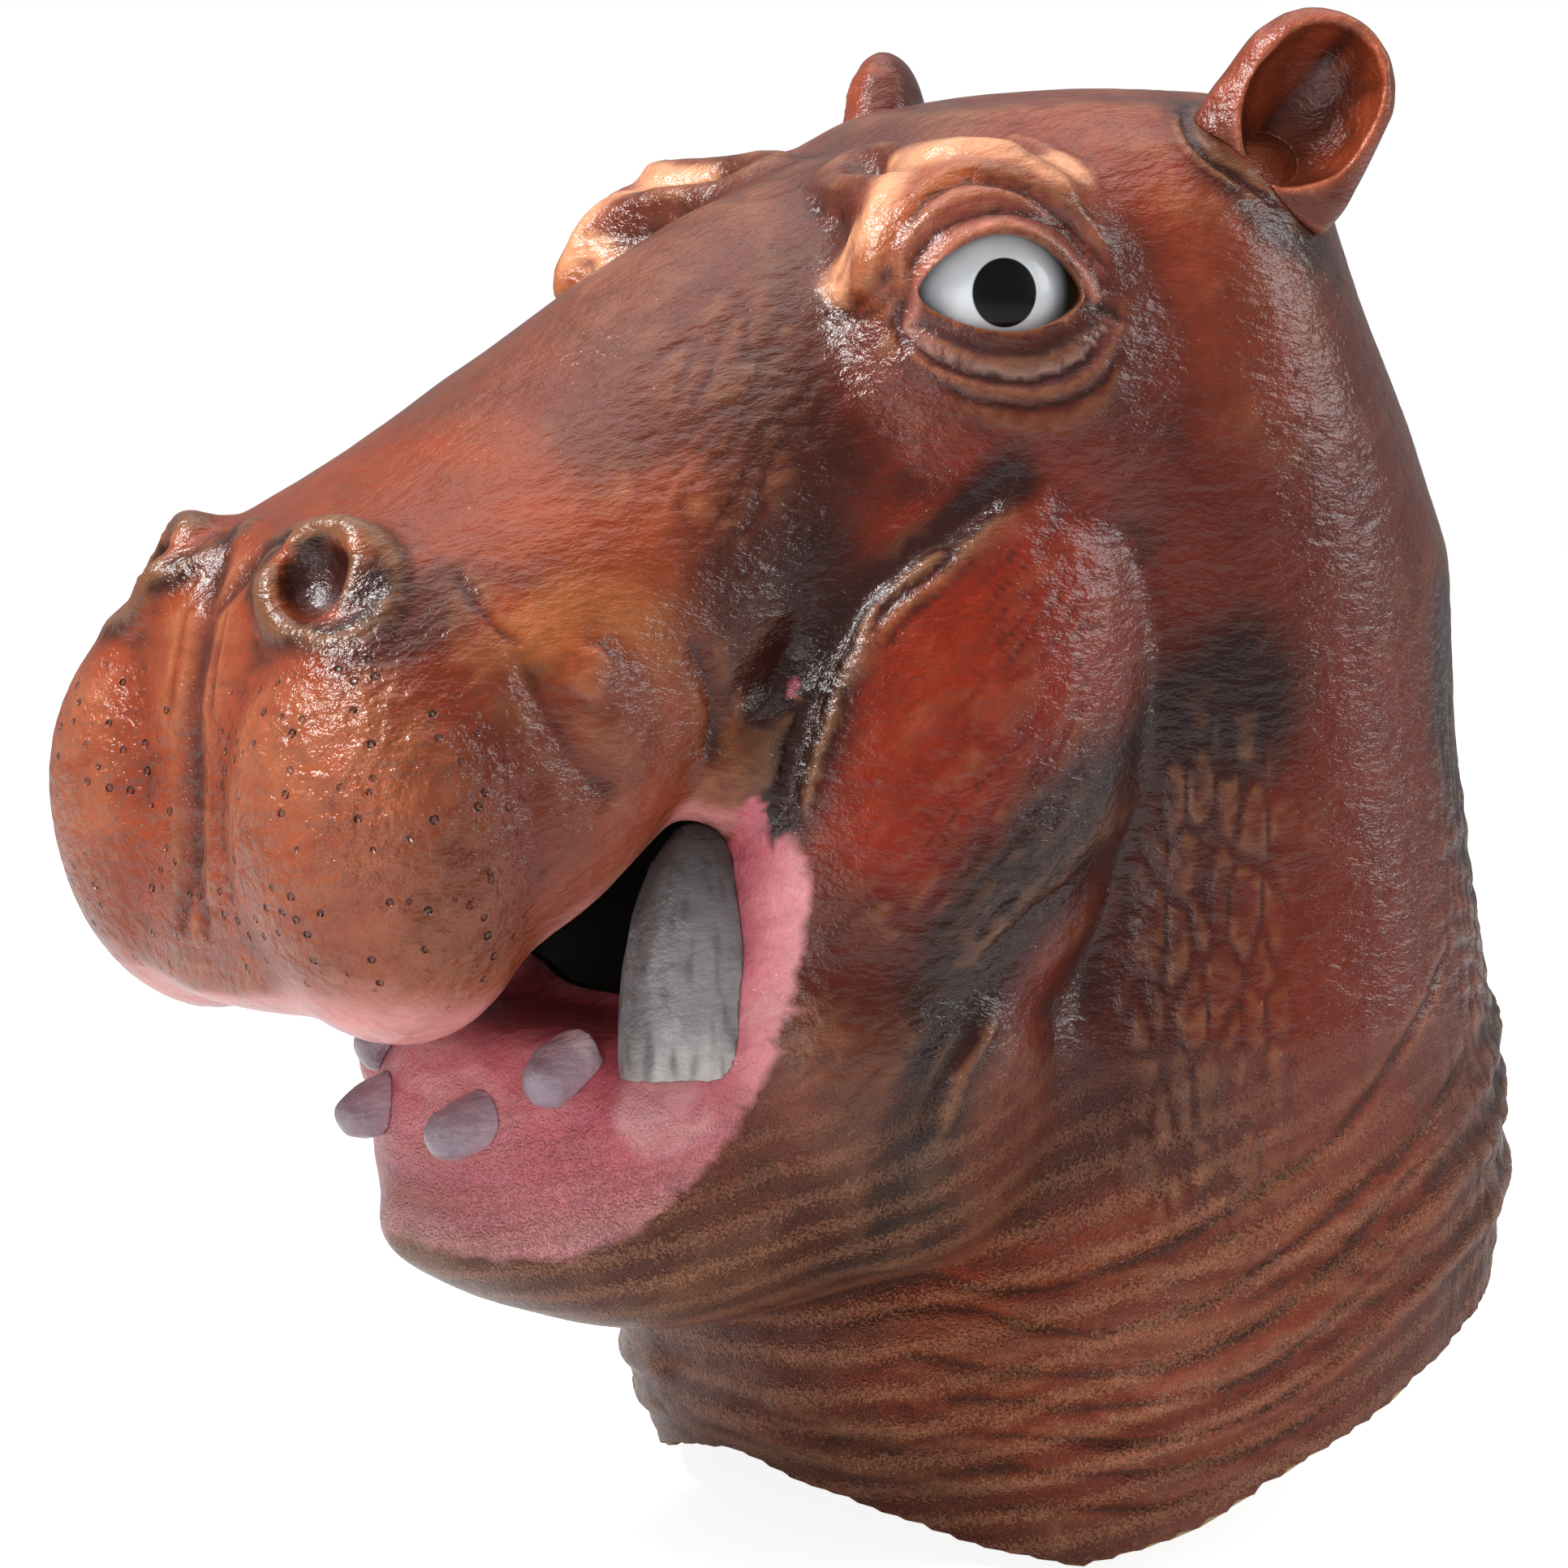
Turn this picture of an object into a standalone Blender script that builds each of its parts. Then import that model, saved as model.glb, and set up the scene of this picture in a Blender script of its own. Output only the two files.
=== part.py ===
"""Full-head latex hippo mask, open-mouthed, with the skin cast hollow and the ears, eyes and teeth fitted to it.

Units are metres, +Z is up and the mask faces -Y, so its left side is at +X.
The origin is the point inside the crown where the wearer's head carries the mask.
"""

import bmesh
import bpy
from math import cos, pi, radians, sin
from mathutils import Euler, Matrix, Vector
from mathutils.bvhtree import BVHTree

# Driving sizes of the hood, which covers the wearer's head and neck
HOOD_DEPTH = 0.340          # crown to the collar's front edge
HOOD_WIDTH = 0.206          # across the temples
HOOD_LENGTH = 0.206         # forehead to nape at ear height
COLLAR_WIDTH = 0.228        # across the collar, side to side
COLLAR_LENGTH = 0.242       # collar, throat to nape

# Driving sizes of the face, measured from the wearer's axis and from the crown
SNOUT_REACH = 0.266         # wearer's axis to the groove between the muzzle pads
SNOUT_DROP = 0.226          # crown to the lowest point of the upper lip
MUZZLE_WIDTH = 0.156
JAW_REACH = 0.212           # wearer's axis to the chin's front
JAW_DROP = 0.311            # crown to the underside of the chin
JAW_WIDTH = 0.156
LIP_RADIUS = 0.0075         # of the rolled lower lip

# Driving sizes of the fitted pieces
EYE_RADIUS = 0.0255
EYE_OPENING_LENGTH = 0.045
EYE_OPENING_HEIGHT = 0.024
EAR_LENGTH = 0.047
EAR_WIDTH = 0.043
EAR_DEPTH = 0.026
TUSK_WIDTH = 0.040
TUSK_DEPTH = 0.026
PEG_RADIUS = 0.0075
NOSTRIL_WIDTH = 0.027
NOSTRIL_HEIGHT = 0.020
NOSTRIL_DEPTH = 0.011
MOUTH_OPENING_WIDTH = 0.098

# Walls and gaps
SKIN_WALL = 0.0028
EAR_WALL = 0.0030
EYE_WALL = 0.0020
TUSK_WALL = 0.0030
FIT_GAP = 0.0003            # between a fitted piece and the skin
LID_ALLOWANCE = 0.0012      # what smoothing takes off the eyelids

# Fineness of the meshes
FORM_VOXEL = 0.0028
CORE_VOXEL = 0.0034
SKIN_FACES = 5000
CORE_FACES = 2400
RING_POINTS = 40
EDGE_POINTS = 48            # round the collar's trimmed edge

SIDES = {"left": 1, "right": -1}

# Level sections of the hood, from the crown down.
# drop is a share of HOOD_DEPTH, width of HOOD_WIDTH, front and back of HOOD_LENGTH.
HOOD_SECTIONS = [
    # drop, width, front, back
    (-0.014, 0.16, -0.02, 0.20),
    (-0.007, 0.42, -0.13, 0.26),
    (0.009, 0.62, -0.24, 0.29),
    (0.040, 0.78, -0.33, 0.312),
    (0.085, 0.87, -0.40, 0.303),
    (0.150, 0.93, -0.45, 0.345),
    (0.250, 0.97, -0.48, 0.445),
    (0.350, 0.98, -0.46, 0.528),
    (0.480, 0.98, -0.42, 0.538),
    (0.600, 1.00, -0.39, 0.568),
]
# The same below the jaw: width is a share of COLLAR_WIDTH, front and back of COLLAR_LENGTH.
COLLAR_SECTIONS = [
    # drop, width, front, back
    (0.740, 0.94, -0.38, 0.528),
    (0.850, 0.99, -0.43, 0.540),
    (0.915, 1.00, -0.48, 0.518),
    (0.965, 1.00, -0.48, 0.505),
    (1.020, 1.00, -0.445, 0.500),
    (1.140, 0.98, -0.37, 0.470),
]
# Upright sections of the upper face, from inside the hood to the muzzle's front.
# reach is a share of SNOUT_REACH, top, middle and bottom of SNOUT_DROP, width of MUZZLE_WIDTH.
# middle is the height of the widest point; crown and keel are the fullness above and below it.
FACE_SECTIONS = [
    # reach, top, middle, bottom, width, crown, keel
    (0.00, 0.030, 0.45, 0.80, 1.12, 1.9, 2.0),
    (0.17, 0.040, 0.45, 0.82, 1.14, 1.9, 2.0),
    (0.30, 0.070, 0.45, 0.80, 1.06, 1.8, 2.0),
    (0.42, 0.125, 0.50, 0.76, 0.94, 1.8, 2.0),
    (0.53, 0.195, 0.50, 0.70, 0.90, 1.75, 2.8),
    (0.62, 0.262, 0.55, 0.815, 0.92, 1.75, 3.4),
    (0.71, 0.332, 0.60, 0.900, 0.95, 1.8, 3.6),
    (0.80, 0.400, 0.66, 0.960, 0.97, 2.0, 3.4),
    (0.88, 0.456, 0.70, 0.982, 0.96, 2.2, 3.0),
    (0.94, 0.500, 0.72, 0.985, 0.88, 2.3, 2.8),
    (0.985, 0.560, 0.74, 0.965, 0.70, 2.3, 2.4),
    (1.000, 0.650, 0.75, 0.890, 0.36, 2.0, 2.0),
]
# Upright sections of the lower jaw; reach is a share of JAW_REACH, top and bottom of JAW_DROP.
JAW_SECTIONS = [
    # reach, top, middle, bottom, width, crown, keel
    (0.25, 0.60, 0.80, 0.96, 1.04, 2.4, 2.2),
    (0.48, 0.60, 0.80, 0.99, 1.08, 2.4, 2.2),
    (0.62, 0.66, 0.82, 1.000, 1.00, 2.4, 2.2),
    (0.70, 0.75, 0.86, 0.998, 0.92, 2.4, 2.2),
    (0.78, 0.84, 0.89, 0.987, 0.80, 2.2, 2.2),
    (0.86, 0.860, 0.90, 0.968, 0.58, 2.2, 2.2),
    (0.93, 0.870, 0.90, 0.944, 0.36, 2.0, 2.2),
    (0.975, 0.880, 0.90, 0.925, 0.18, 2.0, 2.0),
]
# Upright sections of the gum that stands inside the lower lip.
GUM_SECTIONS = [
    # reach, top, middle, bottom, width, crown, keel
    (0.55, 0.750, 0.84, 0.92, 0.92, 3.2, 2.4),
    (0.70, 0.742, 0.84, 0.92, 0.88, 3.2, 2.4),
    (0.80, 0.738, 0.84, 0.92, 0.76, 3.0, 2.4),
    (0.88, 0.740, 0.84, 0.92, 0.58, 2.8, 2.4),
    (0.935, 0.755, 0.84, 0.91, 0.38, 2.4, 2.2),
    (0.960, 0.790, 0.84, 0.89, 0.18, 2.0, 2.0),
]
# Line of the rolled lower lip on the left side, from the chin's middle to the mouth's corner.
# side is a share of JAW_WIDTH, reach of JAW_REACH and drop of JAW_DROP.
LIP_LINE = [
    # side, reach, drop
    (0.00, 0.942, 0.905),
    (0.13, 0.908, 0.902),
    (0.25, 0.850, 0.893),
    (0.34, 0.795, 0.872),
    (0.40, 0.738, 0.832),
    (0.445, 0.695, 0.765),
    (0.475, 0.668, 0.680),
    (0.485, 0.650, 0.590),
    (0.480, 0.630, 0.510),
    (0.465, 0.585, 0.430),
]
# Rounded swellings on each side. side and across are shares of MUZZLE_WIDTH, reach and along of
# SNOUT_REACH, drop and height of SNOUT_DROP; tilt and turn lean the swelling, in degrees.
SWELLINGS = [
    # name, side, reach, drop, across, along, height, tilt, turn
    ("muzzle pad", 0.265, 0.893, 0.780, 0.235, 0.143, 0.228, 8, 10),
    ("canine bulge", 0.330, 0.755, 0.670, 0.160, 0.130, 0.165, 40, 0),
    ("nostril mound", 0.205, 0.915, 0.550, 0.115, 0.078, 0.085, 20, 0),
    ("cheek", 0.400, 0.330, 0.740, 0.225, 0.215, 0.430, -26, 0),
    ("jowl", 0.400, 0.410, 1.060, 0.200, 0.180, 0.250, 30, 0),
    ("temple", 0.350, 0.160, 0.350, 0.250, 0.290, 0.280, 0, 0),
    ("brow", 0.385, 0.300, 0.190, 0.165, 0.132, 0.115, 20, 0),
]
# Raised folds about each eye, seated on the form along the line of sight.
# thickness is a share of LIP_RADIUS; each point is (across, up) in shares of EYE_OPENING_LENGTH.
EYE_FOLDS = [
    # name, thickness, points
    ("brow ridge", 0.80, [
        (-0.66, 0.04), (-0.62, 0.34), (-0.46, 0.62), (-0.18, 0.76), (0.14, 0.74), (0.42, 0.54), (0.60, 0.30)]),
    ("eye bag", 0.42, [
        (-0.50, -0.28), (-0.20, -0.56), (0.18, -0.70), (0.54, -0.56), (0.72, -0.22)]),
]
# Raised folds of the skin on each side, seated on the form from the side.
# Each point is (reach, drop) in shares of SNOUT_REACH and SNOUT_DROP.
SIDE_FOLDS = [
    # name, thickness, points
    ("smile fold", 0.80, [(0.545, 0.690), (0.490, 0.610), (0.400, 0.520), (0.300, 0.460)]),
]
# Raised folds round the collar, seated on the form from the wearer's axis.
# Each point is (angle from the front in degrees, drop as a share of HOOD_DEPTH).
COLLAR_FOLDS = [
    # thickness, points
    (0.75, [(12, 0.975), (45, 0.985), (80, 0.925), (115, 0.830), (150, 0.760)]),
    (0.70, [(0, 1.000), (40, 1.020), (80, 0.965), (120, 0.870), (165, 0.810)]),
    (0.70, [(62, 0.870), (90, 0.845), (125, 0.760), (160, 0.690)]),
]
# Trimmed edge of the collar, which hangs lowest beside the throat and rises to the nape.
COLLAR_EDGE = [
    # angle from the front in degrees, drop as a share of HOOD_DEPTH
    (0, 1.028),
    (20, 1.047),
    (38, 1.071),
    (54, 1.088),
    (68, 1.063),
    (82, 1.021),
    (95, 0.994),
    (107, 0.968),
    (120, 0.944),
    (136, 0.924),
    (160, 0.900),
    (180, 0.890),
]
# The cut below that edge: its floor and middle as shares of HOOD_DEPTH, its inner ring of COLLAR_LENGTH
CUT_FLOOR, CUT_MIDDLE, CUT_INSIDE = 1.3, 0.95, 0.2
# Where the eyes, ears, nostrils and mouth sit, in shares of the sizes above.
# The eyes and ears stand out by shares of HOOD_WIDTH.
EYE_SIDE, EYE_REACH, EYE_DROP = 0.29155, 0.300, 0.232
EYE_TURN = 72               # degrees that the eye looks away from straight ahead
EYE_SPREAD = 66             # degrees from the middle of an eye's dome to its edge
EYE_RINGS = 5
EAR_SIDE, EAR_BACK, EAR_DROP = 0.375, -0.016, 0.065
EAR_TURN = 50               # degrees that the ear's cup looks away from straight ahead
EAR_LEAN = 31               # degrees that the ear leans out and back
NOSTRIL_SIDE, NOSTRIL_REACH, NOSTRIL_DROP = 0.200, 0.930, 0.530
NOSTRIL_LOOK = (0.50, -0.80, 0.34)   # where the left nostril faces
MOUTH_REACH, MOUTH_TOP, MOUTH_BOTTOM = 0.60, 0.76, 1.005

# Profile of an ear along its length, in shares of EAR_LENGTH, EAR_WIDTH and EAR_DEPTH
EAR_PROFILE = [
    # along, width, depth
    (-0.10, 1.00, 0.80),
    (0.10, 1.06, 0.90),
    (0.30, 1.05, 1.00),
    (0.50, 1.00, 1.00),
    (0.68, 0.95, 0.90),
    (0.82, 0.80, 0.72),
    (0.92, 0.58, 0.50),
    (0.98, 0.32, 0.28),
    (1.00, 0.12, 0.12),
]
# The ear's cup: its half length and its middle's height, in shares of EAR_LENGTH
EAR_CUP_REACH, EAR_CUP_HEIGHT = 0.41, 0.52
# Lower canines: foot and tip as side of JAW_WIDTH, reach of JAW_REACH, drop of JAW_DROP.
TUSK_FOOT = (0.355, 0.748, 0.795)
TUSK_TIP = (0.335, 0.738, 0.575)
TUSK_PROFILE = [
    # along, size
    (-0.08, 0.84),
    (0.10, 0.97),
    (0.40, 1.00),
    (0.72, 0.95),
    (0.91, 0.74),
    (1.00, 0.40),
]
# Incisor pegs on the left: base and tip in the same shares.
PEGS = [
    # name, base, tip
    ("inner", (0.125, 0.900, 0.800), (0.130, 1.005, 0.822)),
    ("outer", (0.225, 0.850, 0.757), (0.248, 0.925, 0.780)),
]
PEG_PROFILE = [
    # along, size
    (-0.10, 1.00),
    (0.50, 0.97),
    (0.80, 0.86),
    (0.94, 0.62),
    (1.00, 0.30),
]


def superellipse(width, low, middle, high, low_power, high_power):
    """Points (across, up) of a closed section that is widest at middle."""
    points = []
    for index in range(RING_POINTS):
        angle = 2 * pi * index / RING_POINTS
        power = high_power if sin(angle) >= 0 else low_power
        rise = high - middle if sin(angle) >= 0 else middle - low
        across = abs(cos(angle)) ** (2 / power) * (1 if cos(angle) >= 0 else -1)
        up = abs(sin(angle)) ** (2 / power) * (1 if sin(angle) >= 0 else -1)
        points.append((across * width / 2, middle + up * rise))
    return points


def join_loops(mesh, loops):
    """Adds the faces between each closed loop of vertices and the next."""
    for near, far in zip(loops, loops[1:]):
        for index in range(len(near)):
            after = (index + 1) % len(near)
            mesh.faces.new((near[index], near[after], far[after], far[index]))


def fan(mesh, loop, middle):
    """Closes a loop of vertices with triangles that meet at a point."""
    centre = mesh.verts.new(middle)
    for index in range(len(loop)):
        mesh.faces.new((loop[index], loop[(index + 1) % len(loop)], centre))


def loft(mesh, rings):
    """Bridges closed rings of points in order and caps both ends."""
    loops = [[mesh.verts.new(point) for point in ring] for ring in rings]
    join_loops(mesh, loops)
    mesh.faces.new(loops[0])
    mesh.faces.new(loops[-1])


def ellipsoid(mesh, centre, radii, turn=(0, 0, 0), subdivisions=4):
    """Adds a ball stretched to three radii and turned by degrees about X, Y and Z."""
    place = Matrix.Translation(centre) @ Euler([radians(a) for a in turn]).to_matrix().to_4x4()
    bmesh.ops.create_icosphere(
        mesh, subdivisions=subdivisions, radius=1, matrix=place @ Matrix.Diagonal((*radii, 1)))


def tube(mesh, path, radius):
    """Adds a round tube along a path, with a ball at each end."""
    rings = []
    for index, point in enumerate(path):
        ahead = path[min(index + 1, len(path) - 1)] - path[max(index - 1, 0)]
        turn = ahead.to_track_quat("Z", "X")
        rings.append([
            point + turn @ Vector((radius * cos(a), radius * sin(a), 0))
            for a in (2 * pi * step / 16 for step in range(16))])
    loft(mesh, rings)
    ellipsoid(mesh, path[0], (radius,) * 3, subdivisions=3)
    ellipsoid(mesh, path[-1], (radius,) * 3, subdivisions=3)


def smooth_path(points, steps=4):
    """Catmull-Rom points between the given ones."""
    path = []
    last = len(points) - 1
    for index in range(last):
        a, b, c, d = (points[min(max(index + shift, 0), last)] for shift in (-1, 0, 1, 2))
        for step in range(steps):
            t = step / steps
            path.append(0.5 * (
                2 * b + (c - a) * t + (2 * a - 5 * b + 4 * c - d) * t * t
                + (3 * b - a - 3 * c + d) * t ** 3))
    path.append(points[-1])
    return path


def mesh_object(name, mesh, hidden=False):
    """Turns a bmesh into an object whose faces point outwards."""
    bmesh.ops.recalc_face_normals(mesh, faces=mesh.faces)
    data = bpy.data.meshes.new(name)
    mesh.to_mesh(data)
    mesh.free()
    made = bpy.data.objects.new(name, data)
    bpy.context.scene.collection.objects.link(made)
    if hidden:
        made.hide_render = True
        made.display_type = "WIRE"
    return made


def evaluated_mesh(source):
    """A bmesh of source with its modifiers applied."""
    bpy.context.view_layer.update()
    mesh = bmesh.new()
    mesh.from_object(source, bpy.context.evaluated_depsgraph_get())
    return mesh


def evaluated_copy(source, name, hidden=False):
    return mesh_object(name, evaluated_mesh(source), hidden)


def add_modifier(target, kind, **settings):
    modifier = target.modifiers.new(kind.title(), kind)
    for key, value in settings.items():
        setattr(modifier, key, value)
    return modifier


def cut(target, cutter):
    add_modifier(target, "BOOLEAN", operation="DIFFERENCE", solver="EXACT", object=cutter)


def decimate_to(target, faces):
    """Adds a Decimate that leaves about this many triangles."""
    mesh = evaluated_mesh(target)
    share = faces / sum(len(face.verts) - 2 for face in mesh.faces)
    mesh.free()
    add_modifier(target, "DECIMATE", ratio=min(1, share))


def face_point(side, reach, drop):
    """Point of the upper face from its shares."""
    return Vector((side * MUZZLE_WIDTH, -reach * SNOUT_REACH, -drop * SNOUT_DROP))


def jaw_point(side, shares):
    """Point of the lower jaw from its shares, on the side asked for."""
    out, reach, drop = shares
    return Vector((side * out * JAW_WIDTH, -reach * JAW_REACH, -drop * JAW_DROP))


def upright_rings(sections, reach, drop, width):
    """Rings of a table of upright sections, at -Y reach and -Z drop."""
    rings = []
    for at, top, middle, bottom, wide, crown, keel in sections:
        outline = superellipse(
            wide * width, -bottom * drop, -middle * drop, -top * drop, keel, crown)
        rings.append([Vector((x, -at * reach, z)) for x, z in outline])
    return rings


def level_rings():
    """Rings of the hood and collar, from the crown down."""
    rows = [(row, HOOD_WIDTH, HOOD_LENGTH) for row in HOOD_SECTIONS]
    rows += [(row, COLLAR_WIDTH, COLLAR_LENGTH) for row in COLLAR_SECTIONS]
    rings = []
    for (drop, wide, front, back), width, length in rows:
        middle = (front + back) / 2 * length
        outline = superellipse(wide * width, front * length, middle, back * length, 2.1, 2.1)
        rings.append([Vector((x, y, -drop * HOOD_DEPTH)) for x, y in outline])
    return rings


def eye_frame(side):
    """Matrix at the eyeball's centre whose -Y looks out of the eye."""
    centre = face_point(0, EYE_REACH, EYE_DROP)
    centre.x = side * EYE_SIDE * HOOD_WIDTH
    return Matrix.Translation(centre) @ Matrix.Rotation(radians(side * EYE_TURN), 4, "Z")


def ear_frame(side):
    """Matrix at the ear's foot whose -Y looks out of the cup and whose Z runs to the tip."""
    foot = Vector((side * EAR_SIDE * HOOD_WIDTH, -EAR_BACK * HOOD_LENGTH, -EAR_DROP * HOOD_DEPTH))
    turn = Matrix.Rotation(radians(side * EAR_TURN), 4, "Z")
    return Matrix.Translation(foot) @ turn @ Matrix.Rotation(radians(side * EAR_LEAN), 4, "Y")


def seat(tree, start, aim):
    """Where a ray from start towards aim first meets the form."""
    hit = tree.ray_cast(start, (aim - start).normalized())[0]
    return hit if hit else aim


def add_folds(mesh, tree):
    """Adds the raised folds, half sunk into the form that tree holds."""
    for side in SIDES.values():
        frame = eye_frame(side)
        for _, thickness, points in EYE_FOLDS:
            flat = [Vector((side * x, 0, z)) * EYE_OPENING_LENGTH for x, z in points]
            path = [
                seat(tree, frame @ (p + Vector((0, -4 * EYE_RADIUS, 0))), frame @ p)
                for p in smooth_path(flat)]
            tube(mesh, path, thickness * LIP_RADIUS)
        for _, thickness, points in SIDE_FOLDS:
            path = smooth_path([face_point(0, reach, drop) for reach, drop in points])
            path = [seat(tree, p + Vector((side * HOOD_WIDTH, 0, 0)), p) for p in path]
            tube(mesh, path, thickness * LIP_RADIUS)
        for thickness, points in COLLAR_FOLDS:
            path = smooth_path([Vector((angle, drop, 0)) for angle, drop in points])
            seated = []
            for angle, drop, _ in path:
                centre = Vector((0, 0, -drop * HOOD_DEPTH))
                out = Vector((side * sin(radians(angle)), -cos(radians(angle)), 0))
                seated.append(seat(tree, centre + out * COLLAR_LENGTH, centre))
            tube(mesh, seated, thickness * LIP_RADIUS)


def add_masses(mesh):
    """Adds the lofts and swellings that the form is made of."""
    loft(mesh, level_rings())
    loft(mesh, upright_rings(FACE_SECTIONS, SNOUT_REACH, SNOUT_DROP, MUZZLE_WIDTH))
    loft(mesh, upright_rings(JAW_SECTIONS, JAW_REACH, JAW_DROP, JAW_WIDTH))
    loft(mesh, upright_rings(GUM_SECTIONS, JAW_REACH, JAW_DROP, JAW_WIDTH))
    lid = EYE_RADIUS + FIT_GAP + SKIN_WALL + LID_ALLOWANCE
    for side in SIDES.values():
        for _, out, reach, drop, across, along, height, tilt, turn in SWELLINGS:
            radii = (across * MUZZLE_WIDTH, along * SNOUT_REACH, height * SNOUT_DROP)
            ellipsoid(mesh, face_point(side * out, reach, drop), radii, (tilt, 0, side * turn))
        ellipsoid(mesh, eye_frame(side).translation, (lid, lid, lid))
        socket = (0.62 * TUSK_DEPTH, 0.66 * TUSK_WIDTH, 0.42 * TUSK_WIDTH)
        ellipsoid(mesh, jaw_point(side, TUSK_FOOT), socket)
    half = smooth_path([jaw_point(1, row) for row in LIP_LINE])
    mirrored = [Vector((-p.x, p.y, p.z)) for p in reversed(half[1:])]
    tube(mesh, mirrored + half, LIP_RADIUS)


def build_form():
    """The closed outer form of the skin, before it is hollowed."""
    masses = bmesh.new()
    add_masses(masses)
    base = mesh_object("form_masses", masses, hidden=True)
    add_modifier(base, "REMESH", mode="VOXEL", voxel_size=FORM_VOXEL)
    add_modifier(base, "SMOOTH", factor=0.5, iterations=8)
    mesh = evaluated_mesh(base)
    tree = BVHTree.FromBMesh(mesh)
    add_folds(mesh, tree)
    form = mesh_object("form", mesh, hidden=True)
    add_modifier(form, "REMESH", mode="VOXEL", voxel_size=FORM_VOXEL)
    cut(form, nostril_cutter(tree))
    add_modifier(form, "REMESH", mode="VOXEL", voxel_size=FORM_VOXEL)
    add_modifier(form, "SMOOTH", factor=0.5, iterations=6)
    return evaluated_copy(form, "skin_form", hidden=True)


def nostril_cutter(tree):
    """Two pits sunk into the nostril mounds where they face forwards and outwards."""
    mesh = bmesh.new()
    for side in SIDES.values():
        look = Vector((side * NOSTRIL_LOOK[0], NOSTRIL_LOOK[1], NOSTRIL_LOOK[2]))
        centre = face_point(side * NOSTRIL_SIDE, NOSTRIL_REACH, NOSTRIL_DROP)
        mouth = seat(tree, centre + look * MUZZLE_WIDTH, centre)
        turn = look.to_track_quat("Z", "X").to_matrix().to_4x4()
        radii = (NOSTRIL_WIDTH / 2, NOSTRIL_HEIGHT / 2, NOSTRIL_DEPTH, 1)
        bmesh.ops.create_icosphere(
            mesh, subdivisions=3, radius=1,
            matrix=Matrix.Translation(mouth) @ turn @ Matrix.Diagonal(radii))
    return mesh_object("nostril_cutter", mesh, hidden=True)


def collar_drop(angle):
    """Drop of the collar's trimmed edge at an angle from the front, on either side."""
    angle = min(angle, 360 - angle)
    for (near, drop), (far, after) in zip(COLLAR_EDGE, COLLAR_EDGE[1:]):
        if angle <= far:
            return drop + (after - drop) * (angle - near) / (far - near)
    return COLLAR_EDGE[-1][1]


def collar_cutter():
    """Everything below the collar's trimmed edge."""
    floor = -CUT_FLOOR * HOOD_DEPTH
    angles = [(index + 0.5) * 360 / EDGE_POINTS for index in range(EDGE_POINTS)]
    mesh = bmesh.new()
    loops = []
    for radius, level in ((CUT_INSIDE, False), (1, False), (1, True), (CUT_INSIDE, True)):
        loops.append([
            mesh.verts.new((
                sin(radians(angle)) * radius * COLLAR_LENGTH,
                -cos(radians(angle)) * radius * COLLAR_LENGTH,
                floor if level else -collar_drop(angle) * HOOD_DEPTH))
            for angle in angles])
    join_loops(mesh, loops)
    for ring, height in ((loops[0], -CUT_MIDDLE * HOOD_DEPTH), (loops[-1], floor)):
        fan(mesh, ring, (0, 0, height))
    return mesh_object("collar_cutter", mesh, hidden=True)


def mouth_cutter():
    """The opening behind the gum, through which the wearer sees and breathes."""
    rings = []
    for reach, wide in ((0.10, 0.92), (MOUTH_REACH, 1.0), (0.70, 0.92)):
        outline = superellipse(
            wide * MOUTH_OPENING_WIDTH,
            -MOUTH_BOTTOM * SNOUT_DROP, -0.90 * SNOUT_DROP, -MOUTH_TOP * SNOUT_DROP, 3, 3)
        rings.append([Vector((x, -reach * SNOUT_REACH, z)) for x, z in outline])
    mesh = bmesh.new()
    loft(mesh, rings)
    return mesh_object("mouth_cutter", mesh, hidden=True)


def eye_cutter(side):
    """Almond-shaped opening between the eyelids."""
    outline = []
    for index in range(24):
        angle = 2 * pi * index / 24
        upper = 0.60 if sin(angle) > 0 else 0.40
        lift = sin(angle) * (1 - 0.25 * cos(angle) ** 2)
        outline.append((cos(angle) * EYE_OPENING_LENGTH / 2, lift * upper * EYE_OPENING_HEIGHT))
    frame = eye_frame(side)
    mesh = bmesh.new()
    loft(mesh, [
        [frame @ Vector((x * grow, -depth, z * grow)) for x, z in outline]
        for depth, grow in ((0.4 * EYE_RADIUS, 0.9), (1.6 * EYE_RADIUS, 1.05))])
    return mesh_object("eye_cutter", mesh, hidden=True)


def eye_clearance(side):
    mesh = bmesh.new()
    radius = EYE_RADIUS + FIT_GAP
    ellipsoid(mesh, eye_frame(side).translation, (radius, radius, radius), subdivisions=4)
    return mesh_object("eye_clearance", mesh, hidden=True)


def build_skin(form):
    """The hollow skin: form less its inner core, opened at the collar, mouth and eyes."""
    skin = evaluated_copy(form, "head_skin")
    decimate_to(skin, SKIN_FACES)
    core = evaluated_copy(form, "core", hidden=True)
    add_modifier(core, "REMESH", mode="VOXEL", voxel_size=CORE_VOXEL)
    add_modifier(core, "DISPLACE", strength=-SKIN_WALL, mid_level=0)
    add_modifier(core, "REMESH", mode="VOXEL", voxel_size=CORE_VOXEL)
    decimate_to(core, CORE_FACES)
    clearance = evaluated_copy(skin, "skin_clearance", hidden=True)
    add_modifier(clearance, "DISPLACE", strength=FIT_GAP, mid_level=0)
    cut(skin, collar_cutter())
    cut(skin, core)
    cut(skin, mouth_cutter())
    for side in SIDES.values():
        cut(skin, eye_clearance(side))
        cut(skin, eye_cutter(side))
    return skin, clearance


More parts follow.
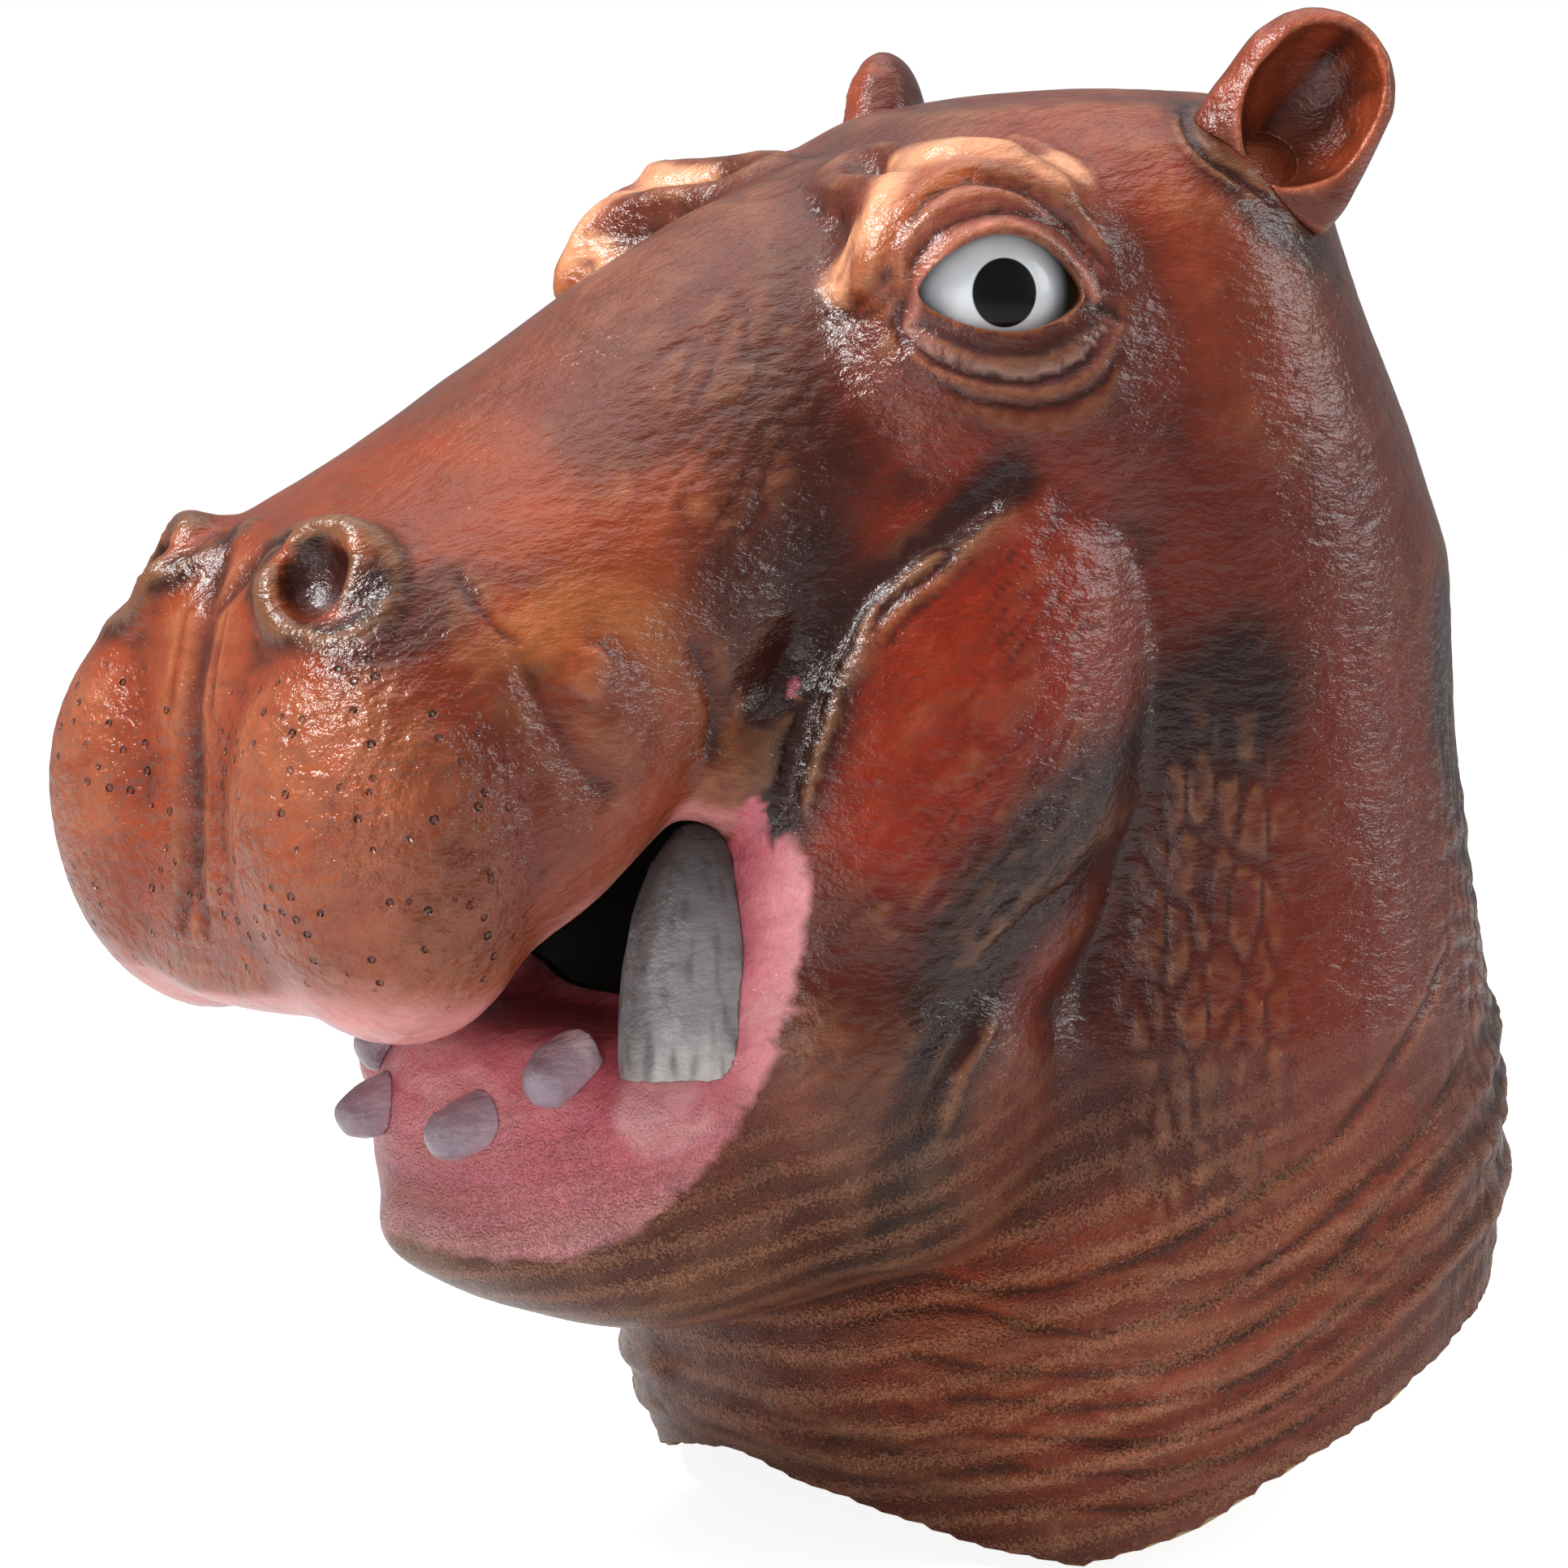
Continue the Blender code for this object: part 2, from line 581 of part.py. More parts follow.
def build_eye(name, side):
    """Thin dome with its edge behind the eyelids."""
    frame = eye_frame(side)
    mesh = bmesh.new()
    shells = []
    for radius in (EYE_RADIUS, EYE_RADIUS - EYE_WALL):
        shells.append([])
        for step in range(1, EYE_RINGS + 1):
            angle = radians(EYE_SPREAD) * step / EYE_RINGS
            shells[-1].append([
                mesh.verts.new(frame @ Vector((
                    radius * sin(angle) * cos(turn),
                    -radius * cos(angle),
                    radius * sin(angle) * sin(turn))))
                for turn in (2 * pi * index / 16 for index in range(16))])
        fan(mesh, shells[-1][0], frame @ Vector((0, -radius, 0)))
    join_loops(mesh, shells[0] + shells[1][::-1])
    return mesh_object(name, mesh)


def build_ear(name, side, clearance):
    """Cupped ear whose foot follows the skin."""
    frame = ear_frame(side)
    shell = bmesh.new()
    loft(shell, [
        [frame @ Vector((x, y, along * EAR_LENGTH))
         for x, y in superellipse(
             wide * EAR_WIDTH, -deep * EAR_DEPTH / 2, 0, deep * EAR_DEPTH / 2, 2, 2)[::2]]
        for along, wide, deep in EAR_PROFILE])
    ear = mesh_object(name, shell)
    hollow = bmesh.new()
    radii = (
        EAR_WIDTH / 2 - EAR_WALL,
        EAR_DEPTH - EAR_WALL,
        EAR_CUP_REACH * EAR_LENGTH,
    )
    place = frame @ Matrix.Translation((0, -EAR_DEPTH / 2, EAR_CUP_HEIGHT * EAR_LENGTH))
    bmesh.ops.create_icosphere(
        hollow, subdivisions=3, radius=1, matrix=place @ Matrix.Diagonal((*radii, 1)))
    cut(ear, mesh_object(name + "_cup_cutter", hollow, hidden=True))
    cut(ear, clearance)
    return ear


def build_tusk(name, side, clearance):
    """Blunt hollow lower canine that stands on the gum."""
    foot = jaw_point(side, TUSK_FOOT)
    tip = jaw_point(side, TUSK_TIP)
    rings = {}
    for kind, wall in (("outer", 0), ("inner", TUSK_WALL)):
        rings[kind] = []
        for along, size in TUSK_PROFILE:
            centre = foot + (tip - foot) * along * (1 if kind == "outer" else 0.94)
            if kind == "inner" and along < 0:
                centre = foot + (tip - foot) * 2 * along
            rings[kind].append([
                centre + Vector((
                    cos(a) * max(size * TUSK_DEPTH / 2 - wall, 0.002),
                    sin(a) * max(size * TUSK_WIDTH / 2 - wall, 0.002),
                    0))
                for a in (2 * pi * turn / 14 for turn in range(14))])
    shell = bmesh.new()
    loft(shell, rings["outer"])
    tusk = mesh_object(name, shell)
    hollow = bmesh.new()
    loft(hollow, rings["inner"])
    cut(tusk, mesh_object(name + "_hollow_cutter", hollow, hidden=True))
    cut(tusk, clearance)
    return tusk


def build_peg(name, side, base, tip, clearance):
    """Blunt incisor peg rooted in the gum."""
    start = jaw_point(side, base)
    end = jaw_point(side, tip)
    turn = (end - start).to_track_quat("Z", "X")
    length = (end - start).length
    mesh = bmesh.new()
    loft(mesh, [
        [start + turn @ Vector((
            size * PEG_RADIUS * cos(a), size * PEG_RADIUS * sin(a), along * length))
         for a in (2 * pi * step / 12 for step in range(12))]
        for along, size in PEG_PROFILE])
    peg = mesh_object(name, mesh)
    cut(peg, clearance)
    return peg


def paint(target, name, colour, roughness):
    """Gives the object its own Principled material."""
    material = bpy.data.materials.new(name)
    material.use_nodes = True
    shader = material.node_tree.nodes["Principled BSDF"]
    shader.inputs["Base Color"].default_value = (*colour, 1)
    shader.inputs["Roughness"].default_value = roughness
    material.diffuse_color = (*colour, 1)
    target.data.materials.clear()
    target.data.materials.append(material)
    target.data.polygons.foreach_set("use_smooth", [True] * len(target.data.polygons))


def main():
    for thing in list(bpy.data.objects):
        bpy.data.objects.remove(thing)
    form = build_form()
    skin, clearance = build_skin(form)
    paint(skin, "skin_latex", (0.30, 0.09, 0.04), 0.35)
    for label, side in SIDES.items():
        paint(build_eye("eye_" + label, side), "eye_gloss_" + label, (0.85, 0.87, 0.88), 0.08)
        ear = build_ear("ear_" + label, side, clearance)
        paint(ear, "ear_latex_" + label, (0.28, 0.08, 0.04), 0.35)
        tusk = build_tusk("tusk_" + label, side, clearance)
        paint(tusk, "tusk_latex_" + label, (0.35, 0.35, 0.36), 0.3)
        for row, base, tip in PEGS:
            peg = build_peg("incisor_" + row + "_" + label, side, base, tip, clearance)
            paint(peg, "incisor_latex_" + row + "_" + label, (0.28, 0.24, 0.26), 0.3)


main()
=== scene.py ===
# Latex hippo mask: sculpts and paints the cast skin, ears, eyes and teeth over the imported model.
from math import cos, pi, radians, sin

import bmesh
import bpy
import numpy as np
from mathutils import Euler, Matrix, Vector, noise
from mathutils.bvhtree import BVHTree
from mathutils.kdtree import KDTree


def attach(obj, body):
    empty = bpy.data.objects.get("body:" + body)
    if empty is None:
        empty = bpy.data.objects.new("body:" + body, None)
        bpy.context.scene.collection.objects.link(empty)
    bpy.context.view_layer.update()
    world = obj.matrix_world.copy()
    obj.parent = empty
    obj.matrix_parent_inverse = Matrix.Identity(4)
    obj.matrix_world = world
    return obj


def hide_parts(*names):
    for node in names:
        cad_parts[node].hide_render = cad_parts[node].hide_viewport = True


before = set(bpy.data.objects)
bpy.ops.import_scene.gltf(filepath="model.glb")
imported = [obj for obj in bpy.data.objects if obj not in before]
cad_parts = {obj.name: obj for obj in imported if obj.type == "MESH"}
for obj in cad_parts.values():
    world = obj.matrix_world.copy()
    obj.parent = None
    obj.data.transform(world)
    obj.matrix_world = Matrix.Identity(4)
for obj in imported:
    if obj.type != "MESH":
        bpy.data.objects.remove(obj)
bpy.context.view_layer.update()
print("packed model loaded")

# the camera stands where the photograph was taken from
view = {"target": (0, -0.090, -0.177), "azimuth": 52, "elevation": 5, "distance": 1.1, "lens": 97.6,
    "framePixels": 1932}

turn = Matrix.Rotation(radians(view["azimuth"]), 4, "Z") @ Matrix.Rotation(radians(90 - view["elevation"]), 4,
    "X")
cameraPlace = Matrix.Translation(view["target"]) @ turn @ Matrix.Translation((0, 0, view["distance"]))
camera = bpy.data.objects.new("photoCamera", bpy.data.cameras.new("photoCamera"))
camera.data.lens = view["lens"]
camera.matrix_world = cameraPlace
bpy.context.scene.collection.objects.link(camera)
bpy.context.scene.camera = camera


def photoRay(across, down):
    # start and direction of the line of sight through a pixel of the photograph
    half = view["framePixels"] / 2
    step = camera.data.sensor_width / camera.data.lens / view["framePixels"]
    aim = Vector(((across - half) * step, (half - down) * step, -1))
    return cameraPlace.translation, (cameraPlace.to_3x3() @ aim).normalized()


# sizes that the whole mask follows, in metres
hoodDepth, hoodWidth, hoodLength, collarWidth, collarLength = 0.340, 0.206, 0.206, 0.228, 0.242
snoutReach, snoutDrop, muzzleWidth = 0.266, 0.226, 0.156
jawReach, jawDrop, jawWidth, lipRadius = 0.212, 0.311, 0.156, 0.0075
eyeRadius, eyeOpeningLength, eyeOpeningHeight = 0.0255, 0.045, 0.024
skinWall, fitGap, lidAllowance = 0.0028, 0.0003, 0.0012
sides = {"left": 1, "right": -1}

hoodSections = [
    # drop, width, front, back
    (-0.014, 0.16, -0.02, 0.20),
    (-0.007, 0.42, -0.13, 0.26),
    (0.009, 0.62, -0.24, 0.29),
    (0.040, 0.78, -0.33, 0.312),
    (0.085, 0.87, -0.40, 0.303),
    (0.150, 0.93, -0.45, 0.345),
    (0.250, 0.97, -0.48, 0.445),
    (0.350, 0.98, -0.46, 0.528),
    (0.480, 0.98, -0.42, 0.538),
    (0.600, 1.00, -0.39, 0.568),
]
# The same below the jaw: width is a share of collarWidth, front and back of collarLength.
collarSections = [
    # drop, width, front, back
    (0.740, 0.94, -0.38, 0.528),
    (0.850, 0.99, -0.43, 0.540),
    (0.915, 1.00, -0.48, 0.518),
    (0.965, 1.00, -0.48, 0.505),
    (1.020, 1.00, -0.445, 0.500),
    (1.140, 0.98, -0.37, 0.470),
]
# Upright sections of the upper face, from inside the hood to the muzzle's front.
# reach is a share of snoutReach, top, middle and bottom of snoutDrop, width of muzzleWidth.
# middle is the height of the widest point; crown and keel are the fullness above and below it.
faceSections = [
    # reach, top, middle, bottom, width, crown, keel
    (0.00, 0.030, 0.45, 0.80, 1.12, 1.9, 2.0),
    (0.17, 0.040, 0.45, 0.82, 1.14, 1.9, 2.0),
    (0.30, 0.070, 0.45, 0.80, 1.06, 1.8, 2.0),
    (0.42, 0.125, 0.50, 0.76, 0.94, 1.8, 2.0),
    (0.53, 0.195, 0.50, 0.70, 0.90, 1.75, 2.8),
    (0.62, 0.262, 0.55, 0.815, 0.92, 1.75, 3.4),
    (0.71, 0.332, 0.60, 0.900, 0.95, 1.8, 3.6),
    (0.80, 0.400, 0.66, 0.960, 0.97, 2.0, 3.4),
    (0.88, 0.456, 0.70, 0.982, 0.96, 2.2, 3.0),
    (0.94, 0.500, 0.72, 0.985, 0.88, 2.3, 2.8),
    (0.985, 0.560, 0.74, 0.965, 0.70, 2.3, 2.4),
    (1.000, 0.650, 0.75, 0.890, 0.36, 2.0, 2.0),
]
# Upright sections of the lower jaw; reach is a share of jawReach, top and bottom of jawDrop.
jawSections = [
    # reach, top, middle, bottom, width, crown, keel
    (0.25, 0.60, 0.80, 0.96, 1.04, 2.4, 2.2),
    (0.48, 0.60, 0.80, 0.99, 1.08, 2.4, 2.2),
    (0.62, 0.66, 0.82, 1.000, 1.00, 2.4, 2.2),
    (0.70, 0.75, 0.86, 0.998, 0.92, 2.4, 2.2),
    (0.78, 0.84, 0.89, 0.987, 0.80, 2.2, 2.2),
    (0.86, 0.860, 0.90, 0.968, 0.58, 2.2, 2.2),
    (0.93, 0.870, 0.90, 0.944, 0.36, 2.0, 2.2),
    (0.975, 0.880, 0.90, 0.925, 0.18, 2.0, 2.0),
]
# Upright sections of the gum that stands inside the lower lip.
gumSections = [
    # reach, top, middle, bottom, width, crown, keel
    (0.55, 0.750, 0.84, 0.92, 0.92, 3.2, 2.4),
    (0.70, 0.742, 0.84, 0.92, 0.88, 3.2, 2.4),
    (0.80, 0.738, 0.84, 0.92, 0.76, 3.0, 2.4),
    (0.88, 0.740, 0.84, 0.92, 0.58, 2.8, 2.4),
    (0.935, 0.755, 0.84, 0.91, 0.38, 2.4, 2.2),
    (0.960, 0.790, 0.84, 0.89, 0.18, 2.0, 2.0),
]
# Line of the rolled lower lip on the left side, from the chin's middle to the mouth's corner.
# side is a share of jawWidth, reach of jawReach and drop of jawDrop.
lipLine = [
    # side, reach, drop
    (0.00, 0.942, 0.905),
    (0.13, 0.908, 0.902),
    (0.25, 0.850, 0.893),
    (0.34, 0.795, 0.872),
    (0.40, 0.738, 0.832),
    (0.445, 0.695, 0.765),
    (0.475, 0.668, 0.680),
    (0.485, 0.650, 0.590),
    (0.480, 0.630, 0.510),
    (0.465, 0.585, 0.430),
]
# Rounded swellings on each side. side and across are shares of muzzleWidth, reach and along of
# snoutReach, drop and height of snoutDrop; tilt and turn lean the swelling, in degrees.
swellings = [
    # name, side, reach, drop, across, along, height, tilt, turn
    ("muzzle pad", 0.265, 0.893, 0.780, 0.235, 0.143, 0.228, 8, 10),
    ("canine bulge", 0.330, 0.755, 0.670, 0.160, 0.130, 0.165, 40, 0),
    ("nostril mound", 0.205, 0.915, 0.550, 0.115, 0.078, 0.085, 20, 0),
    ("cheek", 0.400, 0.330, 0.740, 0.225, 0.215, 0.430, -26, 0),
    ("jowl", 0.400, 0.410, 1.060, 0.200, 0.180, 0.250, 30, 0),
    ("temple", 0.350, 0.160, 0.350, 0.250, 0.290, 0.280, 0, 0),
    ("brow", 0.385, 0.300, 0.190, 0.165, 0.132, 0.115, 20, 0),
]
# Raised folds about each eye, seated on the form along the line of sight.
# thickness is a share of lipRadius; each point is (across, up) in shares of eyeOpeningLength.
eyeFolds = [
    # name, thickness, points
    ("brow ridge", 0.80, [
        (-0.66, 0.04), (-0.62, 0.34), (-0.46, 0.62), (-0.18, 0.76), (0.14, 0.74), (0.42, 0.54), (0.60,
         0.30)]),
    ("eye bag", 0.42, [
        (-0.50, -0.28), (-0.20, -0.56), (0.18, -0.70), (0.54, -0.56), (0.72, -0.22)]),
]
# Raised folds of the skin on each side, seated on the form from the side.
# Each point is (reach, drop) in shares of snoutReach and snoutDrop.
sideFolds = [
    # name, thickness, points
    ("smile fold", 0.80, [(0.545, 0.690), (0.490, 0.610), (0.400, 0.520), (0.300, 0.460)]),
]
# Raised folds round the collar, seated on the form from the wearer's axis.
# Each point is (angle from the front in degrees, drop as a share of hoodDepth).
collarFolds = [
    # thickness, points
    (0.75, [(12, 0.975), (45, 0.985), (80, 0.925), (115, 0.830), (150, 0.760)]),
    (0.70, [(0, 1.000), (40, 1.020), (80, 0.965), (120, 0.870), (165, 0.810)]),
    (0.70, [(62, 0.870), (90, 0.845), (125, 0.760), (160, 0.690)]),
]
# Trimmed edge of the collar, which hangs lowest beside the throat and rises to the nape.
collarEdge = [
    # angle from the front in degrees, drop as a share of hoodDepth
    (0, 1.028),
    (20, 1.047),
    (38, 1.071),
    (54, 1.088),
    (68, 1.063),
    (82, 1.021),
    (95, 0.994),
    (107, 0.968),
    (120, 0.944),
    (136, 0.924),
    (160, 0.900),
    (180, 0.890),
]
# Profile of an ear along its length, in shares of earLength, earWidth and earDepth
earProfile = [
    # along, width, depth
    (-0.10, 1.00, 0.80),
    (0.10, 1.06, 0.90),
    (0.30, 1.05, 1.00),
    (0.50, 1.00, 1.00),
    (0.68, 0.95, 0.90),
    (0.82, 0.80, 0.72),
    (0.92, 0.58, 0.50),
    (0.98, 0.32, 0.28),
    (1.00, 0.12, 0.12),
]
# Lower canines: foot and tip as side of jawWidth, reach of jawReach, drop of jawDrop.
tuskFoot = (0.355, 0.748, 0.795)
tuskTip = (0.335, 0.738, 0.575)
# Incisor pegs on the left: base and tip in the same shares.
pegs = [
    # name, base, tip
    ("inner", (0.125, 0.900, 0.800), (0.130, 1.005, 0.822)),
    ("outer", (0.225, 0.850, 0.757), (0.248, 0.925, 0.780)),
]
# fineness of the sculpted skin
fine = {"roughVoxel": 0.0026, "voxel": 0.0017, "coreVoxel": 0.0034, "smoothing": 16, "skinTriangles": 160000}


def rounded(width, low, middle, high, lowPower, highPower, count=48):
    # closed section (across, up) that is widest at middle
    points = []
    for index in range(count):
        angle = 2 * pi * index / count
        power = highPower if sin(angle) >= 0 else lowPower
        rise = high - middle if sin(angle) >= 0 else middle - low
        across = abs(cos(angle)) ** (2 / power) * (1 if cos(angle) >= 0 else -1)
        up = abs(sin(angle)) ** (2 / power) * (1 if sin(angle) >= 0 else -1)
        points.append((across * width / 2, middle + up * rise))
    return points


def loftRings(mesh, rings):
    # bridges closed rings of points in order and closes both ends
    loops = []
    for ring in rings:
        made = bmesh.ops.create_circle(mesh, cap_ends=False, radius=1, segments=len(ring))["verts"]
        for vertex, point in zip(made, ring):
            vertex.co = point
        loops.append(list({edge for vertex in made for edge in vertex.link_edges}))
    for near, far in zip(loops, loops[1:]):
        bmesh.ops.bridge_loops(mesh, edges=near + far)
    for end in (loops[0], loops[-1]):
        bmesh.ops.holes_fill(mesh, edges=end, sides=len(end))


def swelling(mesh, centre, radii, tilt=(0, 0, 0), subdivisions=4):
    place = Matrix.Translation(centre) @ Euler([radians(a) for a in tilt]).to_matrix().to_4x4()
    bmesh.ops.create_icosphere(
        mesh, subdivisions=subdivisions, radius=1, matrix=place @ Matrix.Diagonal((*radii, 1)))


def roll(mesh, path, radius):
    # round roll of skin along a path
    rings = []
    for index, point in enumerate(path):
        ahead = path[min(index + 1, len(path) - 1)] - path[max(index - 1, 0)]
        facing = ahead.to_track_quat("Z", "X")
        rings.append([
            point + facing @ Vector((radius * cos(a), radius * sin(a), 0))
            for a in (2 * pi * step / 16 for step in range(16))])
    loftRings(mesh, rings)
    swelling(mesh, path[0], (radius,) * 3, subdivisions=3)
    swelling(mesh, path[-1], (radius,) * 3, subdivisions=3)


def smoothPath(points, steps=6):
    # Catmull-Rom points between the given ones
    path = []
    last = len(points) - 1
    for index in range(last):
        a, b, c, d = (points[min(max(index + shift, 0), last)] for shift in (-1, 0, 1, 2))
        for step in range(steps):
            t = step / steps
            path.append(0.5 * (2 * b + (c - a) * t + (2 * a - 5 * b + 4 * c - d) * t * t
                               + (3 * b - a - 3 * c + d) * t ** 3))
    path.append(points[-1])
    return path


def meshPiece(name, mesh):
    bmesh.ops.recalc_face_normals(mesh, faces=mesh.faces)
    data = bpy.data.meshes.new(name)
    mesh.to_mesh(data)
    mesh.free()
    made = bpy.data.objects.new(name, data)
    bpy.context.scene.collection.objects.link(made)
    return made


def addModifier(piece, kind, **settings):
    modifier = piece.modifiers.new(kind.title(), kind)
    for key, value in settings.items():
        setattr(modifier, key, value)


def bake(piece):
    # applies the piece's modifiers
    bpy.context.view_layer.update()
    data = bpy.data.meshes.new_from_object(piece.evaluated_get(bpy.context.evaluated_depsgraph_get()))
    piece.modifiers.clear()
    old = piece.data
    piece.data = data
    bpy.data.meshes.remove(old)
    data.name = piece.name
    return piece


def remesh(piece, voxel, smoothing=0):
    addModifier(piece, "REMESH", mode="VOXEL", voxel_size=voxel)
    if smoothing:
        addModifier(piece, "SMOOTH", factor=0.5, iterations=smoothing)
    return bake(piece)


def carve(piece, cutter):
    addModifier(piece, "BOOLEAN", operation="DIFFERENCE", solver="MANIFOLD", object=cutter)
    bake(piece)
    bpy.data.objects.remove(cutter)


def copyOf(piece, name):
    made = bpy.data.objects.new(name, piece.data.copy())
    bpy.context.scene.collection.objects.link(made)
    return made


def treeOf(piece):
    return BVHTree.FromPolygons(
        [v.co[:] for v in piece.data.vertices], [p.vertices[:] for p in piece.data.polygons])


def facePoint(side, reach, drop):
    return Vector((side * muzzleWidth, -reach * snoutReach, -drop * snoutDrop))


def jawPoint(side, shares):
    out, reach, drop = shares
    return Vector((side * out * jawWidth, -reach * jawReach, -drop * jawDrop))


def uprightRings(sections, reach, drop, width):
    return [
        [Vector((x, -at * reach, z)) for x, z in rounded(
            wide * width, -bottom * drop, -middle * drop, -top * drop, keel, crown)]
        for at, top, middle, bottom, wide, crown, keel in sections]


def levelRings():
    rows = [(row, hoodWidth, hoodLength) for row in hoodSections]
    rows += [(row, collarWidth, collarLength) for row in collarSections]
    return [
        [Vector((x, y, -drop * hoodDepth)) for x, y in rounded(
            wide * width, front * length, (front + back) / 2 * length, back * length, 2.1, 2.1)]
        for (drop, wide, front, back), width, length in rows]


eye = {"side": 0.385, "reach": 0.300, "drop": 0.232, "turn": 72, "spread": 66}
nostril = {"side": 0.200, "reach": 0.930, "drop": 0.530, "look": (0.50, -0.80, 0.34),
           "width": 0.029, "height": 0.021, "depth": 0.013}


# skin that joins upper and lower lip at the mouth's corner, in metres and degrees
cornerWeb = {"side": 0.058, "place": (-0.148, -0.163), "radii": (0.017, 0.022, 0.016), "tilt": 25}


def eyeFrame(side):
    # matrix at the eyeball's centre whose -Y looks out of the eye
    centre = facePoint(side * eye["side"], eye["reach"], eye["drop"])
    return Matrix.Translation(centre) @ Matrix.Rotation(radians(side * eye["turn"]), 4, "Z")


def seat(tree, start, aim):
    hit = tree.ray_cast(start, (aim - start).normalized())[0]
    return hit if hit else aim


def addFolds(mesh, tree):
    for side in sides.values():
        frameOfEye = eyeFrame(side)
        for _, thickness, points in eyeFolds:
            flat = [Vector((side * x, 0, z)) * eyeOpeningLength for x, z in points]
            inward = frameOfEye.to_3x3() @ Vector((0, 0.45 * thickness * lipRadius, 0))
            path = [seat(tree, frameOfEye @ (p + Vector((0, -4 * eyeRadius, 0))), frameOfEye @ p) + inward
                    for p in smoothPath(flat)]
            roll(mesh, path, thickness * lipRadius)
        for _, thickness, points in sideFolds:
            path = smoothPath([facePoint(0, reach, drop) for reach, drop in points])
            path = [seat(tree, p + Vector((side * hoodWidth, 0, 0)), p) for p in path]
            roll(mesh, path, 0.55 * thickness * lipRadius)
        for thickness, points in collarFolds:
            path = []
            for angle, drop, _ in smoothPath([Vector((angle, drop, 0)) for angle, drop in points]):
                centre = Vector((0, 0, -drop * hoodDepth))
                out = Vector((side * sin(radians(angle)), -cos(radians(angle)), 0))
                path.append(seat(tree, centre + out * collarLength, centre))
            roll(mesh, path, 0.6 * thickness * lipRadius)


def lipPath():
    half = smoothPath([jawPoint(1, row) for row in lipLine])
    return [Vector((-p.x, p.y, p.z)) for p in reversed(half[1:])] + half


def buildForm():
    # the skin's closed outer form, from the same sections as the solids
    masses = bmesh.new()
    loftRings(masses, levelRings())
    loftRings(masses, uprightRings(faceSections, snoutReach, snoutDrop, muzzleWidth))
    loftRings(masses, uprightRings(jawSections, jawReach, jawDrop, jawWidth))
    loftRings(masses, uprightRings(gumSections, jawReach, jawDrop, jawWidth))
    lid = eyeRadius + fitGap + skinWall + lidAllowance
    for side in sides.values():
        for _, out, reach, drop, across, along, height, tilt, swing in swellings:
            radii = (across * muzzleWidth, along * snoutReach, height * snoutDrop)
            swelling(masses, facePoint(side * out, reach, drop), radii, (tilt, 0, side * swing))
        swelling(masses, eyeFrame(side).translation, (lid, lid, lid))
        socket = (0.62 * tusk["depth"], 0.66 * tusk["width"], 0.42 * tusk["width"])
        swelling(masses, jawPoint(side, tuskFoot), socket)
        # skin that closes the mouth's corner
        swelling(masses, Vector((side * cornerWeb["side"], *cornerWeb["place"])), cornerWeb["radii"],
            (cornerWeb["tilt"], 0, 0))
    roll(masses, lipPath(), lipRadius)
    form = meshPiece("skinForm", masses)
    remesh(form, fine["roughVoxel"], 9)
    tree = treeOf(form)
    folds = bmesh.new()
    folds.from_mesh(form.data)
    addFolds(folds, tree)
    bpy.data.objects.remove(form)
    form = meshPiece("skinForm", folds)
    remesh(form, fine["voxel"])
    cutter = bmesh.new()
    for side in sides.values():
        look = Vector((side * nostril["look"][0], *nostril["look"][1:]))
        centre = facePoint(side * nostril["side"], nostril["reach"], nostril["drop"])
        mouth = seat(tree, centre + look * muzzleWidth, centre)
        facing = look.to_track_quat("Z", "X").to_matrix().to_4x4()
        radii = (nostril["width"] / 2, nostril["height"] / 2, nostril["depth"], 1)
        bmesh.ops.create_icosphere(
            cutter, subdivisions=4, radius=1, matrix=Matrix.Translation(mouth) @ facing @ Matrix.Diagonal(radii))
    carve(form, meshPiece("nostrilCutter", cutter))
    remesh(form, fine["voxel"], fine["smoothing"])
    return form


tusk = {"width": 0.040, "depth": 0.026}
form = buildForm()
print("skin form built:", len(form.data.vertices), "points")

